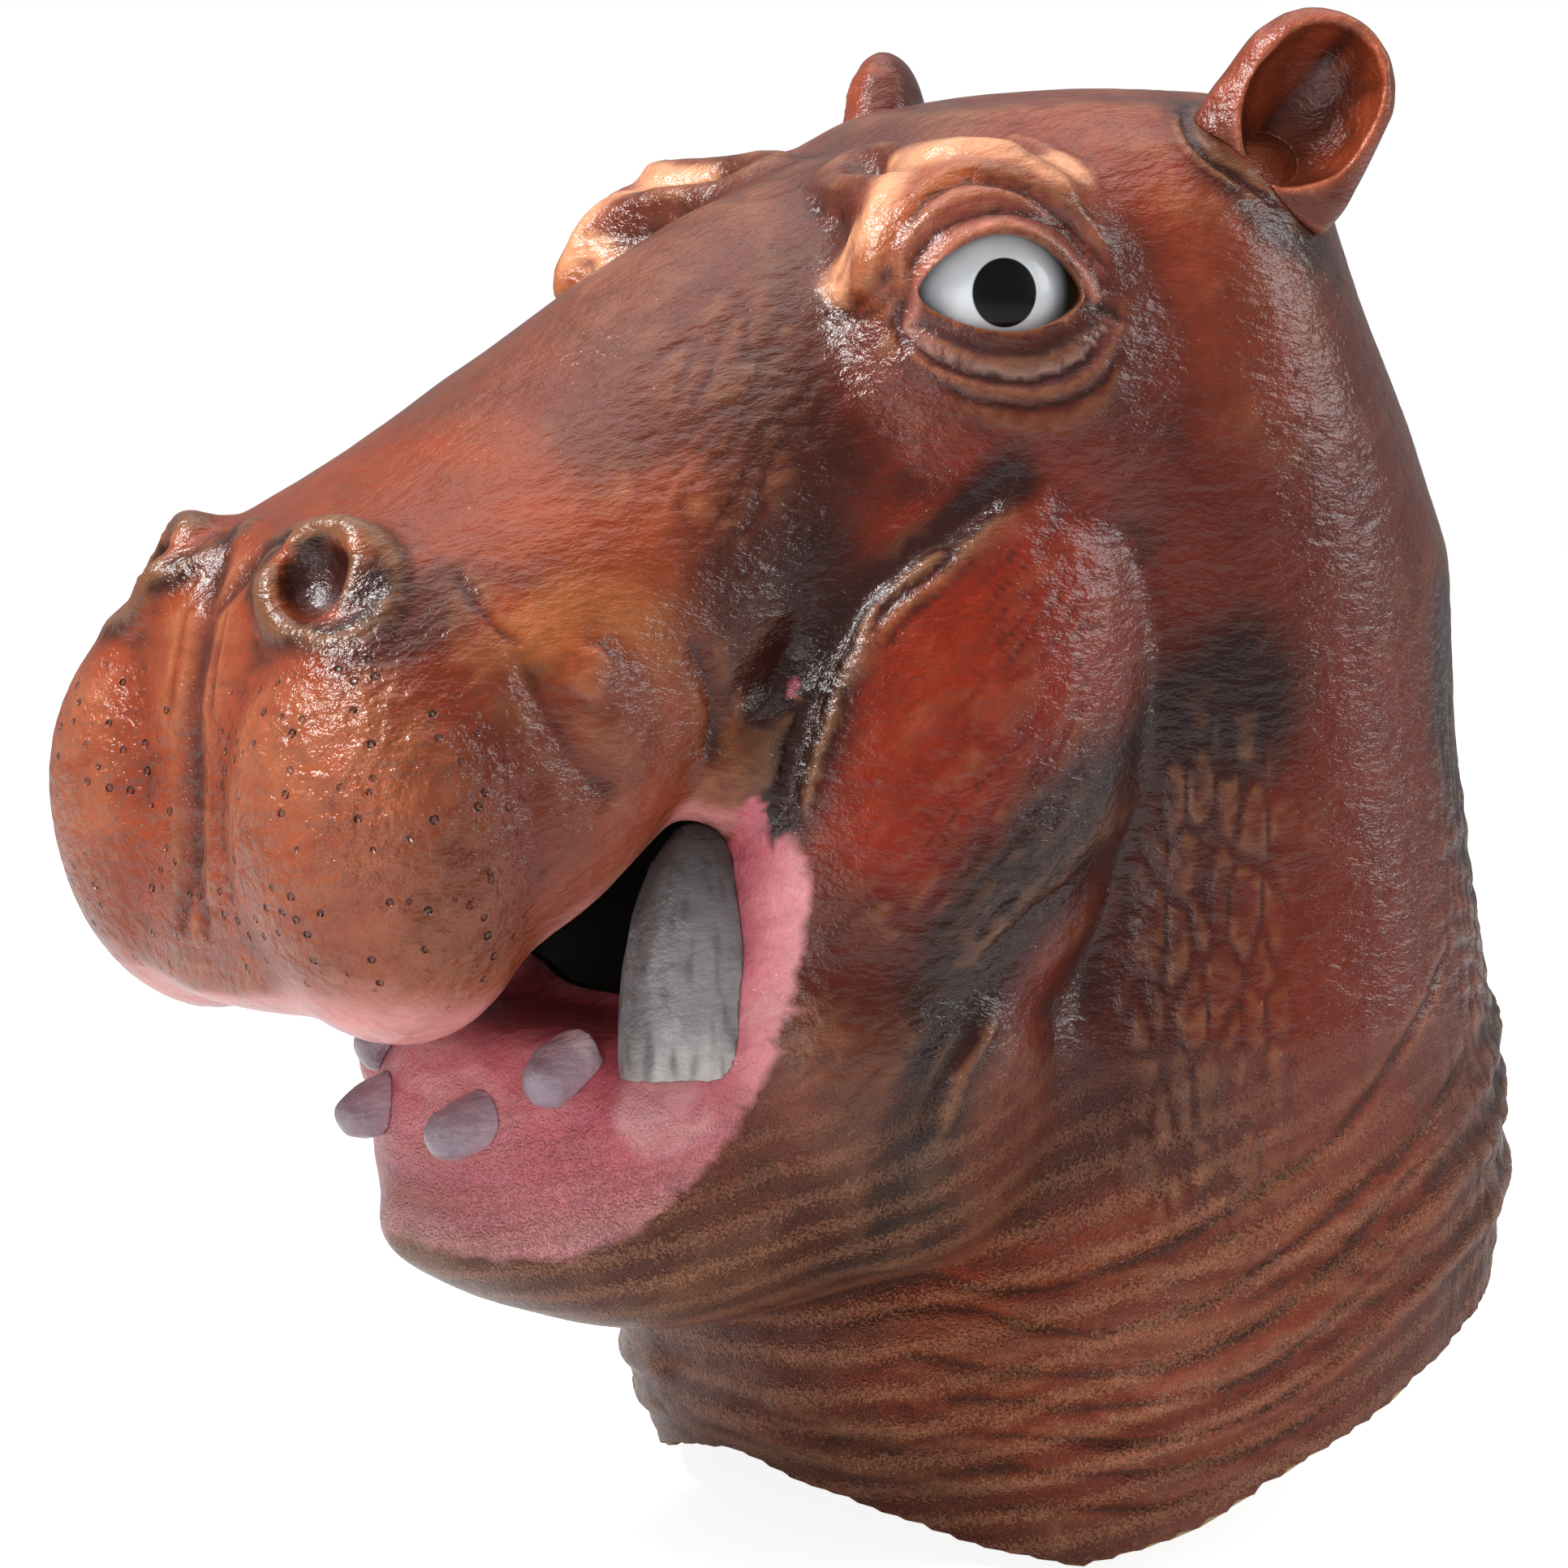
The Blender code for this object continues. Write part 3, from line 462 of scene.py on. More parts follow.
# Sculpting strokes. Each is traced in pixels of the photograph, laid on the form along the line of
# sight and repeated on the far side. width and height are in millimetres; a groove's height is below 0.
sculptStrokes = [
    # width, height, points
    # eyelids, from the edge outwards
    (1.6, 1.2, [(1126, 392), (1142, 340), (1182, 298), (1240, 280), (1298, 300), (1336, 342), (1352, 378)]),
    (1.1, -1.3, [(1116, 372), (1124, 326), (1156, 286), (1204, 264), (1254, 260), (1304, 278), (1338, 314),
     (1360, 356)]),
    (1.6, 1.0, [(1104, 352), (1116, 300), (1150, 262), (1200, 238), (1256, 240), (1310, 262), (1352, 306)]),
    (1.4, -1.6, [(1116, 286), (1140, 246), (1186, 222), (1230, 226), (1284, 250), (1332, 290), (1372, 340)]),
    (1.8, 1.0, [(1124, 244), (1160, 214), (1206, 204), (1262, 222), (1318, 252), (1362, 300)]),
    (1.5, 1.2, [(1130, 402), (1166, 428), (1214, 444), (1268, 448), (1318, 430), (1352, 398)]),
    (1.0, -1.3, [(1120, 412), (1158, 446), (1212, 464), (1276, 468), (1334, 446), (1368, 396)]),
    (1.3, 1.0, [(1118, 432), (1164, 464), (1216, 482), (1288, 484), (1348, 458), (1382, 400)]),
    (0.9, -1.1, [(1140, 456), (1196, 490), (1286, 500), (1354, 474), (1394, 414)]),
    (1.2, -1.3, [(1120, 430), (1104, 400), (1112, 366)]),
    (1.4, -1.3, [(1340, 376), (1372, 384), (1384, 398)]),
    # brow and the hollow in front of it
    (3.0, 1.2, [(1030, 352), (1056, 280), (1104, 212), (1176, 172), (1254, 172), (1322, 206), (1364, 254)]),
    (2.4, -1.4, [(1096, 322), (1084, 356), (1048, 380), (1016, 392)]),
    (1.2, -0.8, [(1110, 350), (1076, 384), (1040, 402)]),
    # crease from the mouth's corner and the roll beside it
    (4.2, -3.0, [(962, 1010), (978, 930), (1004, 850), (1042, 780), (1090, 724), (1150, 672), (1212, 622),
     (1258, 580)]),
    (2.4, 2.0, [(1052, 790), (1078, 742), (1120, 704), (1166, 668)]),
    (1.4, -1.2, [(1068, 778), (1100, 740), (1146, 708), (1186, 668)]),
    (1.4, -0.9, [(1090, 800), (1124, 758), (1170, 724)]),
    (2.0, 1.2, [(990, 1010), (1008, 930), (1034, 850)]),
    # folds between cheek, jaw and neck
    (8.5, -2.2, [(1084, 1560), (1104, 1450), (1140, 1350), (1196, 1250), (1280, 1150), (1372, 1062), (1450,
     960)]),
    (2.2, -1.4, [(1134, 1420), (1170, 1330), (1206, 1270)]),
    (2.0, 1.3, [(1160, 1400), (1190, 1320), (1236, 1246)]),
    (1.6, -1.0, [(1200, 1160), (1230, 1120), (1260, 1096)]),
    (1.8, -1.1, [(1210, 1190), (1262, 1140), (1330, 1090)]),
    # muzzle: groove down the middle, its lines and the bulge above the canine
    (5.0, -2.6, [(300, 640), (262, 710), (240, 790), (232, 880), (232, 980), (236, 1080), (256, 1160)]),
    (1.5, -0.8, [(280, 740), (262, 820), (256, 900)]),
    (5.0, 1.8, [(742, 800), (716, 862)]),
    (5.0, -1.6, [(640, 800), (690, 900), (760, 990)]),
    (3.5, -1.4, [(850, 780), (880, 860), (878, 950)]),
    (1.5, -0.8, [(560, 700), (600, 760), (650, 800)]),
    # nostril rims
    (5.0, 2.0, [(322, 716), (350, 668), (404, 648), (454, 660), (484, 700), (478, 744), (436, 782), (380,
     790), (336, 766), (322, 716)]),
    # seam at the ear's base
    (1.4, -1.5, [(1462, 128), (1462, 160), (1486, 192), (1530, 220), (1580, 258)]),
    (1.5, 1.0, [(1450, 140), (1458, 176), (1486, 206), (1524, 232)]),
    # folds round the neck
    (1.7, -1.5, [(880, 1612), (980, 1610), (1080, 1588), (1150, 1578), (1240, 1590), (1340, 1574), (1450,
     1530), (1550, 1470), (1650, 1400), (1720, 1310)]),
    (1.5, -1.4, [(1000, 1650), (1090, 1618), (1190, 1612), (1290, 1640), (1400, 1636), (1500, 1600), (1600,
     1530), (1700, 1440), (1780, 1340)]),
    (1.7, -1.6, [(1040, 1700), (1120, 1672), (1220, 1690), (1330, 1692), (1440, 1684), (1540, 1640), (1640,
     1560), (1740, 1450), (1800, 1380)]),
    (1.5, -1.4, [(1090, 1740), (1200, 1724), (1320, 1734), (1440, 1726), (1560, 1690), (1660, 1610), (1760,
     1510)]),
    (1.6, -1.5, [(1080, 1790), (1200, 1768), (1320, 1778), (1440, 1776), (1560, 1738), (1680, 1650), (1790,
     1540)]),
    (1.4, -1.2, [(1100, 1830), (1230, 1812), (1360, 1820), (1480, 1806), (1590, 1764), (1700, 1680)]),
    (1.3, -1.0, [(1180, 1864), (1300, 1858), (1420, 1860), (1520, 1830)]),
    (1.4, -1.1, [(1640, 1400), (1700, 1330), (1760, 1230), (1790, 1150)]),
    (1.4, -1.1, [(1690, 1470), (1760, 1380), (1810, 1290)]),
]


def layOnSkin(tree, pixels):
    # points of a traced line on the form, a millimetre or so apart
    hits = []
    for point in smoothPath([Vector((*pixel, 0)) for pixel in pixels], 26):
        hit = tree.ray_cast(*photoRay(point.x, point.y))[0]
        if hit:
            hits.append(hit)
    return np.array([hit[:] for hit in hits])


def nearness(points, line, reach):
    # distance of each point to the line or its mirror image
    return nearnessAlong(points, line, reach)[0]


def nearnessAlong(points, line, reach):
    # the same with the share of the line's length where the nearest point lies
    distance = np.full(len(points), 1e3)
    along = np.zeros(len(points))
    for flip in (1, -1):
        mirrored = line * np.array([flip, 1, 1])
        close = np.flatnonzero(np.all(
            (points > mirrored.min(axis=0) - reach) & (points < mirrored.max(axis=0) + reach), axis=1))
        for part in np.array_split(close, max(1, len(close) * len(line) // 4000000 + 1)):
            gaps = np.sqrt(((points[part][:, None, :] - mirrored[None, :, :]) ** 2).sum(axis=2))
            nearest = gaps.argmin(axis=1)
            gap = gaps[np.arange(len(part)), nearest]
            closer = gap < distance[part]
            distance[part] = np.where(closer, gap, distance[part])
            along[part] = np.where(closer, nearest / max(1, len(line) - 1), along[part])
    return distance, along


def readPoints(data):
    points = np.empty(len(data.vertices) * 3, np.float32)
    data.vertices.foreach_get("co", points)
    return points.reshape(-1, 3).astype(float)


def readNormals(data):
    normals = np.empty(len(data.vertices) * 3, np.float32)
    data.vertices.foreach_get("normal", normals)
    return normals.reshape(-1, 3).astype(float)


def writePoints(data, points):
    data.vertices.foreach_set("co", points.astype(np.float32).ravel())
    data.update()


def ramp(values, low, high):
    t = np.clip((values - low) / (high - low), 0, 1)
    return t * t * (3 - 2 * t)


def noiseOf(points, size):
    return np.array([noise.noise(Vector(p)) for p in points / size])


# where each kind of wrinkle lies: radius in millimetres round traced lines
wrinkleZones = {
    "net": (26, [(1500, 1000), (1480, 1150), (1500, 1300), (1480, 1420)]),
    "cheek": (26, [(1300, 760), (1280, 880), (1240, 1000), (1180, 1120)]),
    "crinkle": (22, [(880, 420), (930, 500), (900, 560), (860, 600)]),
    "pores": (30, [(420, 900), (500, 1000), (380, 1100), (520, 1140), (130, 960), (130, 1060)]),
}
wrinkles = {
    "netCell": (0.0075, 0.0190), "netDepth": 0.0007,
    "foldSpacing": 0.0085, "foldDepth": 0.0004,
    "streakDepth": 0.00035, "lumpSize": 0.024, "lumpDepth": 0.0005,
}


def wrinkleHeights(points, zones):
    # heights in metres of the wrinkles that cover whole areas
    angle = np.arctan2(points[:, 0], -points[:, 1])
    arc = angle * 0.11
    warp = noiseOf(points, 0.030)
    heights = wrinkles["lumpDepth"] * noiseOf(points + 3, wrinkles["lumpSize"])
    # folds that ring the collar
    low = ramp(-points[:, 2], 0.235, 0.300) * ramp(points[:, 1], -0.135, -0.095)
    back = ramp(points[:, 1], 0.02, 0.09) * ramp(-points[:, 2], 0.10, 0.24)
    ring = np.maximum(low, back)
    wave = np.sin(2 * pi * (points[:, 2] - 0.10 * np.abs(arc) + 0.010 * warp) / wrinkles["foldSpacing"])
    heights += ring * wrinkles["foldDepth"] * wave * np.clip(0.5 + 1.6 * noiseOf(points + 7, 0.035), 0, 1)
    # net of creases on the side of the neck
    cells = np.stack([arc / wrinkles["netCell"][0], points[:, 2] / wrinkles["netCell"][1], warp * 0.6],
        axis=1)
    net = np.clip(zones["net"] + 0.8 * ramp(points[:, 1], 0.03, 0.07) * ramp(-points[:, 2], 0.12, 0.20), 0, 1)
    inNet = np.flatnonzero(net > 0.02)
    gap = np.zeros(len(points))
    for index in inNet:
        distances = noise.voronoi(Vector(cells[index]))[0]
        gap[index] = distances[1] - distances[0]
    heights -= np.where(net > 0.02, net * wrinkles["netDepth"] * (1 - ramp(gap, 0.02, 0.30)), 0)
    # fine slanting lines on the cheek and short ones on the nose's bridge
    slant = points @ np.array([0.0, 0.62, -0.78])
    along = points @ np.array([0.0, 0.78, 0.62])
    streaks = noiseOf(np.stack([slant / 0.0042, along / 0.022, points[:, 0] / 0.03], axis=1), 1)
    heights -= wrinkles["streakDepth"] * (0.35 + zones["cheek"] + 1.3 * zones["crinkle"]) * (1 - np.minimum(1,
        np.abs(streaks) * 4))
    return heights


# rolls that are melted into the skin round them: radius in millimetres, rounds, points
meltedRolls = [
    (11, 40, [(1030, 352), (1040, 300), (1070, 240), (1120, 200), (1180, 176), (1254, 176), (1322, 208),
     (1364, 254)]),
    (7, 14, [(1130, 430), (1200, 480), (1290, 490), (1370, 440)]),
    (10, 22, [(1040, 790), (1110, 705), (1180, 650), (1250, 590)]),
]


def neighbourMean(data, points):
    ends = np.empty(len(data.edges) * 2, np.int32)
    data.edges.foreach_get("vertices", ends)
    a, b = ends[0::2], ends[1::2]
    counts = np.bincount(np.concatenate([a, b]), minlength=len(points)).clip(1)
    total = np.stack([
        np.bincount(a, points[b, axis], len(points)) + np.bincount(b, points[a, axis], len(points))
        for axis in range(3)], axis=1)
    return total / counts[:, None]


def zoneWeights(points, tree):
    return {
        name: 1 - ramp(nearness(points, layOnSkin(tree, pixels), 0.0015 * radius), 0.0005 * radius,
            0.0012 * radius)
        for name, (radius, pixels) in wrinkleZones.items()}


def melt(data, tree):
    points = readPoints(data)
    for radius, rounds, pixels in meltedRolls:
        distance = nearness(points, layOnSkin(tree, pixels), 0.0015 * radius)
        weight = (1 - ramp(distance, 0.0006 * radius, 0.0013 * radius))[:, None]
        for _ in range(rounds):
            points = points + weight * 0.6 * (neighbourMean(data, points) - points)
    writePoints(data, points)


def sculpt(piece, tree):
    data = piece.data
    melt(data, tree)
    points = readPoints(data)
    normals = readNormals(data)
    heights = np.zeros(len(points))
    for width, height, pixels in sculptStrokes:
        line = layOnSkin(tree, pixels)
        distance, along = nearnessAlong(points, line, 0.001 * width * 2.6)
        taper = 1 if pixels[0] == pixels[-1] else np.clip(5 * np.minimum(along, 1 - along), 0, 1) ** 0.8
        heights += 0.001 * height * taper * np.exp(-(distance / (0.001 * width * (0.45 + 0.55 * taper))) ** 2)
    heights += wrinkleHeights(points, zoneWeights(points, tree))
    writePoints(data, points + normals * heights[:, None])


formTree = treeOf(form)
sculpt(form, formTree)
print("wrinkles sculpted")

# the trimmed edge, the hollow and the openings
opening = {"mouthReach": 0.60, "mouthTop": 0.76, "mouthBottom": 1.005, "mouthWidth": 0.098}


def collarDrop(angle):
    angle = min(angle, 360 - angle)
    return float(np.interp(angle, [row[0] for row in collarEdge], [row[1] for row in collarEdge]))


def openSkin(form):
    skin = copyOf(form, "headSkin")
    triangles = sum(len(p.vertices) - 2 for p in skin.data.polygons)
    addModifier(skin, "DECIMATE", ratio=min(1, fine["skinTriangles"] / triangles))
    bake(skin)
    core = copyOf(form, "skinCore")
    remesh(core, fine["coreVoxel"])
    addModifier(core, "DISPLACE", strength=-skinWall, mid_level=0)
    remesh(core, fine["coreVoxel"])
    addModifier(core, "DECIMATE", ratio=0.5)
    bake(core)
    edge = bmesh.new()
    floor = -1.3 * hoodDepth
    angles = [(index + 0.5) * 3.75 for index in range(96)]
    rings = []
    for radius, height in ((0.01, -0.95 * hoodDepth), (0.2, None), (1.0, None), (1.0, floor), (0.01, floor)):
        rings.append([
            Vector((sin(radians(a)) * radius * collarLength, -cos(radians(a)) * radius * collarLength,
                    height if height else -collarDrop(a) * hoodDepth + 0.0012 * noise.noise(Vector((a * 0.11,
                        0, 0)))))
            for a in angles])
    loftRings(edge, rings)
    carve(skin, meshPiece("collarCutter", edge))
    carve(skin, core)
    mouth = bmesh.new()
    loftRings(mouth, [
        [Vector((x, -reach * snoutReach, z)) for x, z in rounded(
            wide * opening["mouthWidth"], -opening["mouthBottom"] * snoutDrop, -0.90 * snoutDrop,
            -opening["mouthTop"] * snoutDrop, 3, 3)]
        for reach, wide in ((0.10, 0.92), (opening["mouthReach"], 1.0), (0.70, 0.92))])
    carve(skin, meshPiece("mouthCutter", mouth))
    for side in sides.values():
        place = eyeFrame(side)
        ball = bmesh.new()
        swelling(ball, place.translation, (eyeRadius + fitGap,) * 3, subdivisions=5)
        carve(skin, meshPiece("eyeClearance", ball))
        slit = bmesh.new()
        outline = []
        for index in range(48):
            angle = 2 * pi * index / 48
            upper = 0.60 if sin(angle) > 0 else 0.40
            lift = sin(angle) * (1 - 0.25 * cos(angle) ** 2)
            outline.append((cos(angle) * eyeOpeningLength / 2, lift * upper * eyeOpeningHeight))
        loftRings(slit, [
            [place @ Vector((x * grow, -depth, z * grow)) for x, z in outline]
            for depth, grow in ((0.4 * eyeRadius, 0.9), (1.6 * eyeRadius, 1.05))])
        carve(skin, meshPiece("eyeCutter", slit))
    return skin


headSkin = openSkin(form)
print("skin opened:", len(headSkin.data.polygons), "faces")

# Airbrushed colours. Each stroke is traced in pixels of the photograph and repeated on the far side.
# radius and soft are in millimetres: the stroke fades over soft at its edge.
# Some strokes are painted shade or painted highlight, as marked where they stand.
paintBase = "#70301A"
paintGlaze = "#F0C6B4"
paintStrokes = [
    # colour, radius, soft, strength, points
    ("#8E2E10", 42, 40, 0.90, [(1300, 740), (1250, 900), (1200, 1050)]),
    ("#6A2814", 42, 40, 0.92, [(1440, 420), (1540, 560), (1600, 800)]),
    ("#8A452B", 24, 24, 0.70, [(1230, 140), (1380, 160), (1500, 300), (1560, 420)]),
    ("#7A2E16", 30, 30, 0.85, [(1700, 900), (1720, 1080), (1660, 1240)]),
    ("#96401E", 30, 30, 0.85, [(1200, 1700), (1380, 1740), (1560, 1680), (1700, 1500)]),
    ("#B24A20", 10, 14, 0.60, [(1180, 1600), (1300, 1560), (1420, 1480)]),
    ("#6B3A28", 12, 14, 0.70, [(770, 1680), (830, 1760), (930, 1790)]),
    ("#96502C", 58, 30, 0.90, [(150, 900), (330, 1000), (520, 1000), (650, 950)]),
    ("#8A4429", 20, 24, 0.60, [(120, 850), (110, 1000), (130, 1120)]),
    ("#8E4820", 22, 24, 0.80, [(460, 590), (600, 570), (740, 630)]),
    ("#8E4E20", 14, 13, 0.80, [(330, 1225), (450, 1262), (600, 1210), (740, 1110), (840, 1020), (880, 940)]),
    ("#6E3018", 22, 22, 0.80, [(560, 860), (640, 980), (600, 1080)]),
    ("#623A2C", 26, 26, 0.88, [(1100, 160), (970, 240), (900, 330), (850, 430), (800, 520)]),
    ("#7A4C38", 16, 18, 0.70, [(840, 270), (700, 400), (560, 480)]),
    ("#54382F", 12, 16, 0.75, [(990, 340), (1000, 430), (930, 500)]),
    ("#8E4A2C", 14, 16, 0.65, [(860, 620), (760, 650), (640, 680)]),
    # painted shade in and beside the crease that runs from the mouth's corner up towards the eye
    ("#3E1A10", 17, 22, 0.85, [(1010, 560), (930, 700), (940, 800), (950, 900)]),
    ("#1E0E0C", 8, 9, 0.92, [(960, 1010), (980, 920), (1005, 845), (1045, 772), (1100, 712), (1170, 655),
     (1245, 595)]),
    ("#28130E", 12, 16, 0.75, [(1010, 700), (990, 780), (965, 880)]),
    # painted shade in the valley between the cheek and the neck
    ("#1E0805", 21, 20, 0.95, [(1520, 860), (1420, 950), (1300, 1060), (1200, 1180), (1130, 1290), (1100,
     1420), (1085, 1540)]),
    ("#4E1C0E", 22, 24, 0.85, [(1440, 1050), (1360, 1250), (1420, 1380)]),
    ("#2A1C18", 14, 16, 0.85, [(1782, 760), (1784, 900), (1812, 1060), (1846, 1250), (1858, 1400)]),
    ("#6E4638", 9, 12, 0.60, [(1150, 140), (1300, 122), (1440, 124)]),
    ("#56220F", 20, 16, 0.92, [(560, 1580), (720, 1605), (880, 1570), (980, 1450), (1010, 1320), (1030,
     1180)]),
    ("#5E3A24", 7, 8, 0.75, [(620, 1602), (740, 1625), (880, 1606), (960, 1580)]),
    ("#7A3E1E", 10, 12, 0.60, [(900, 1480), (960, 1380)]),
    ("#2C110C", 8, 9, 0.88, [(1470, 130), (1500, 195), (1560, 262), (1604, 290), (1640, 320)]),
    ("#54241C", 15, 14, 0.75, [(1150, 420), (1260, 470), (1360, 430), (1370, 330)]),
    ("#A5663C", 11, 10, 0.80, [(1070, 330), (1110, 250), (1180, 200), (1260, 200), (1320, 240)]),
    # painted highlight along the brow ridge
    ("#E9C3A0", 5.2, 5, 0.92, [(1036, 350), (1054, 284), (1104, 214), (1176, 174), (1252, 176), (1318, 212)]),
    ("#4E2620", 3.4, 5, 0.75, [(1226, 212), (1286, 238), (1344, 268)]),
    ("#8C5650", 5.0, 4, 0.75, [(1130, 300), (1176, 250), (1240, 244), (1302, 268), (1346, 320)]),
    ("#6A4244", 4.5, 4, 0.70, [(1124, 400), (1164, 440), (1220, 462), (1290, 466), (1350, 430), (1374, 392)]),
    ("#B98680", 1.6, 1.4, 0.85, [(1124, 390), (1140, 338), (1182, 294), (1240, 276), (1298, 296), (1338, 342),
     (1350, 374)]),
    ("#4A383C", 1.6, 1.4, 0.85, [(1140, 400), (1168, 418), (1216, 434), (1268, 440), (1318, 422), (1346,
     396)]),
    # painted highlight along the lower lid's wet edge
    ("#B4A39E", 0.9, 1.0, 0.85, [(1118, 404), (1150, 432), (1210, 452), (1272, 460), (1330, 438), (1360,
     404)]),
    ("#3A2422", 1.4, 1.6, 0.80, [(1340, 378), (1376, 386)]),
    # painted shade behind the nostril
    ("#40201A", 8, 9, 0.85, [(490, 740), (535, 752), (450, 800), (560, 720)]),
    ("#5A2C1E", 3, 4, 0.70, [(560, 700), (610, 706), (660, 716)]),
    ("#2A1412", 4.6, 4, 0.97, [(322, 716), (350, 668), (404, 648), (454, 660), (484, 700), (478, 744), (436,
     782), (380, 790), (336, 766), (322, 716)]),
    # painted shade inside the nostril's pit
    ("#2E1512", 7.5, 3, 0.97, [(386, 716), (430, 716)]),
    ("#B07A45", 7, 8, 0.60, [(660, 800), (700, 750), (770, 752), (812, 800)]),
    ("#7A3E22", 9, 9, 0.75, [(770, 850), (770, 920), (740, 960)]),
    ("#6B4238", 5.5, 7, 0.70, [(262, 700), (240, 800), (234, 900), (236, 1000), (246, 1100), (264, 1180)]),
    ("#A0714C", 2.0, 2.0, 0.60, [(760, 1110), (840, 1020), (890, 930), (912, 860)]),
]
mouthPaint = {"gum": "#CC6672", "gumShadeAndBlotch": "#A94252", "lip": "#DE9698", "underLip": "#CF8580",
    "throat": "#160D0D"}


def linear(hexColour):
    # linear red, green and blue of an sRGB hex colour
    channels = [int(hexColour[index:index + 2], 16) / 255 for index in (1, 3, 5)]
    return np.array([c / 12.92 if c <= 0.04045 else ((c + 0.055) / 1.055) ** 2.4 for c in channels])


def paintWith(colours, weights, hexColour):
    weights = np.clip(weights, 0, 1)[:, None]
    return colours * (1 - weights) + linear(hexColour) * weights


def hollows(data):
    # how far each point lies below its neighbours: positive in creases, negative on crests
    points = readPoints(data)
    mean = points
    for _ in range(3):
        mean = neighbourMean(data, mean)
    return ((mean - points) * readNormals(data)).sum(axis=1)


# outline of the pink lip and gum on the lower jaw, traced in pixels of the photograph
pinkOutline = [
    (420, 1290), (462, 1400), (468, 1452), (484, 1498), (520, 1532), (572, 1546), (640, 1553), (700, 1552),
    (758, 1532), (818, 1492), (866, 1444), (908, 1388), (940, 1334), (960, 1282), (976, 1216), (990, 1150),
    (998, 1100), (994, 1060), (980, 1034), (960, 1030), (940, 1046), (900, 1060), (700, 1100), (420, 1200)]


def photoPixels(points):
    # where points of the near side, or the mirror image of the far side, fall in the photograph
    mirrored = points.copy()
    mirrored[:, 0] = np.abs(mirrored[:, 0])
    inverse = np.array(cameraPlace.inverted())
    local = mirrored @ inverse[:3, :3].T + inverse[:3, 3]
    step = camera.data.sensor_width / camera.data.lens / view["framePixels"]
    half = view["framePixels"] / 2
    return half + local[:, 0] / -local[:, 2] / step, half - local[:, 1] / -local[:, 2] / step


def outlineDepth(points, outline):
    # metres by which each point lies inside the traced outline, below 0 outside it
    across, down = photoPixels(points)
    inside = np.zeros(len(points), bool)
    gap = np.full(len(points), 1e6)
    for (x0, y0), (x1, y1) in zip(outline, outline[1:] + outline[:1]):
        crosses = (y0 > down) != (y1 > down)
        inside ^= crosses & (across < (x1 - x0) * (down - y0) / ((y1 - y0) or 1e-9) + x0)
        t = np.clip(((across - x0) * (x1 - x0) + (down - y0) * (y1 - y0)) / ((x1 - x0) ** 2 + (y1 - y0) ** 2),
            0, 1)
        gap = np.minimum(gap, np.hypot(across - x0 - t * (x1 - x0), down - y0 - t * (y1 - y0)))
    return np.where(inside, gap, -gap) * 0.0002


def treeOfMasses(*makers):
    mesh = bmesh.new()
    for maker in makers:
        maker(mesh)
    tree = BVHTree.FromBMesh(mesh)
    mesh.free()
    return tree


def mouthWeights(points):
    # share of pink paint on each point of the lower jaw, and how near the lip's crest it is
    jawTree = treeOfMasses(
        lambda mesh: loftRings(mesh, uprightRings(jawSections, jawReach, jawDrop, jawWidth)),
        lambda mesh: loftRings(mesh, uprightRings(gumSections, jawReach, jawDrop, jawWidth)),
        lambda mesh: roll(mesh, lipPath(), lipRadius))
    faceTree = treeOfMasses(
        lambda mesh: loftRings(mesh, uprightRings(faceSections, snoutReach, snoutDrop, muzzleWidth)),
        *[lambda mesh, side=side, row=row: swelling(
            mesh, facePoint(side * row[1], row[2], row[3]),
            (row[4] * muzzleWidth, row[5] * snoutReach, row[6] * snoutDrop), (row[7], 0, side * row[8]))
          for side in sides.values() for row in swellings if row[0] in ("muzzle pad", "canine bulge")])
    line = smoothPath(lipPath(), 3)
    lipTree = KDTree(len(line))
    for index, point in enumerate(line):
        lipTree.insert(point, index)
    lipTree.balance()
    gum = np.zeros(len(points))
    crest = np.zeros(len(points))
    depth = outlineDepth(points, pinkOutline)
    near = np.flatnonzero((points[:, 1] < -0.070) & (points[:, 2] < -0.145) & (points[:, 2] > -0.30))
    for index in near:
        point = Vector(points[index])
        toJaw = jawTree.find_nearest(point, 0.03)[3]
        toFace = faceTree.find_nearest(point, 0.03)[3]
        if toJaw is None or (toFace is not None and toFace < toJaw):
            continue
        spot, _, distance = lipTree.find(point)
        inner = abs(point.x) < abs(spot.x) - 0.004 and point.z > spot.z - 0.004
        gum[index] = 1 if inner else 1 - ramp(np.array([-depth[index]]), -0.0004, 0.0004)[0]
        crest[index] = np.exp(-(distance / 0.010) ** 2)
    return gum, crest


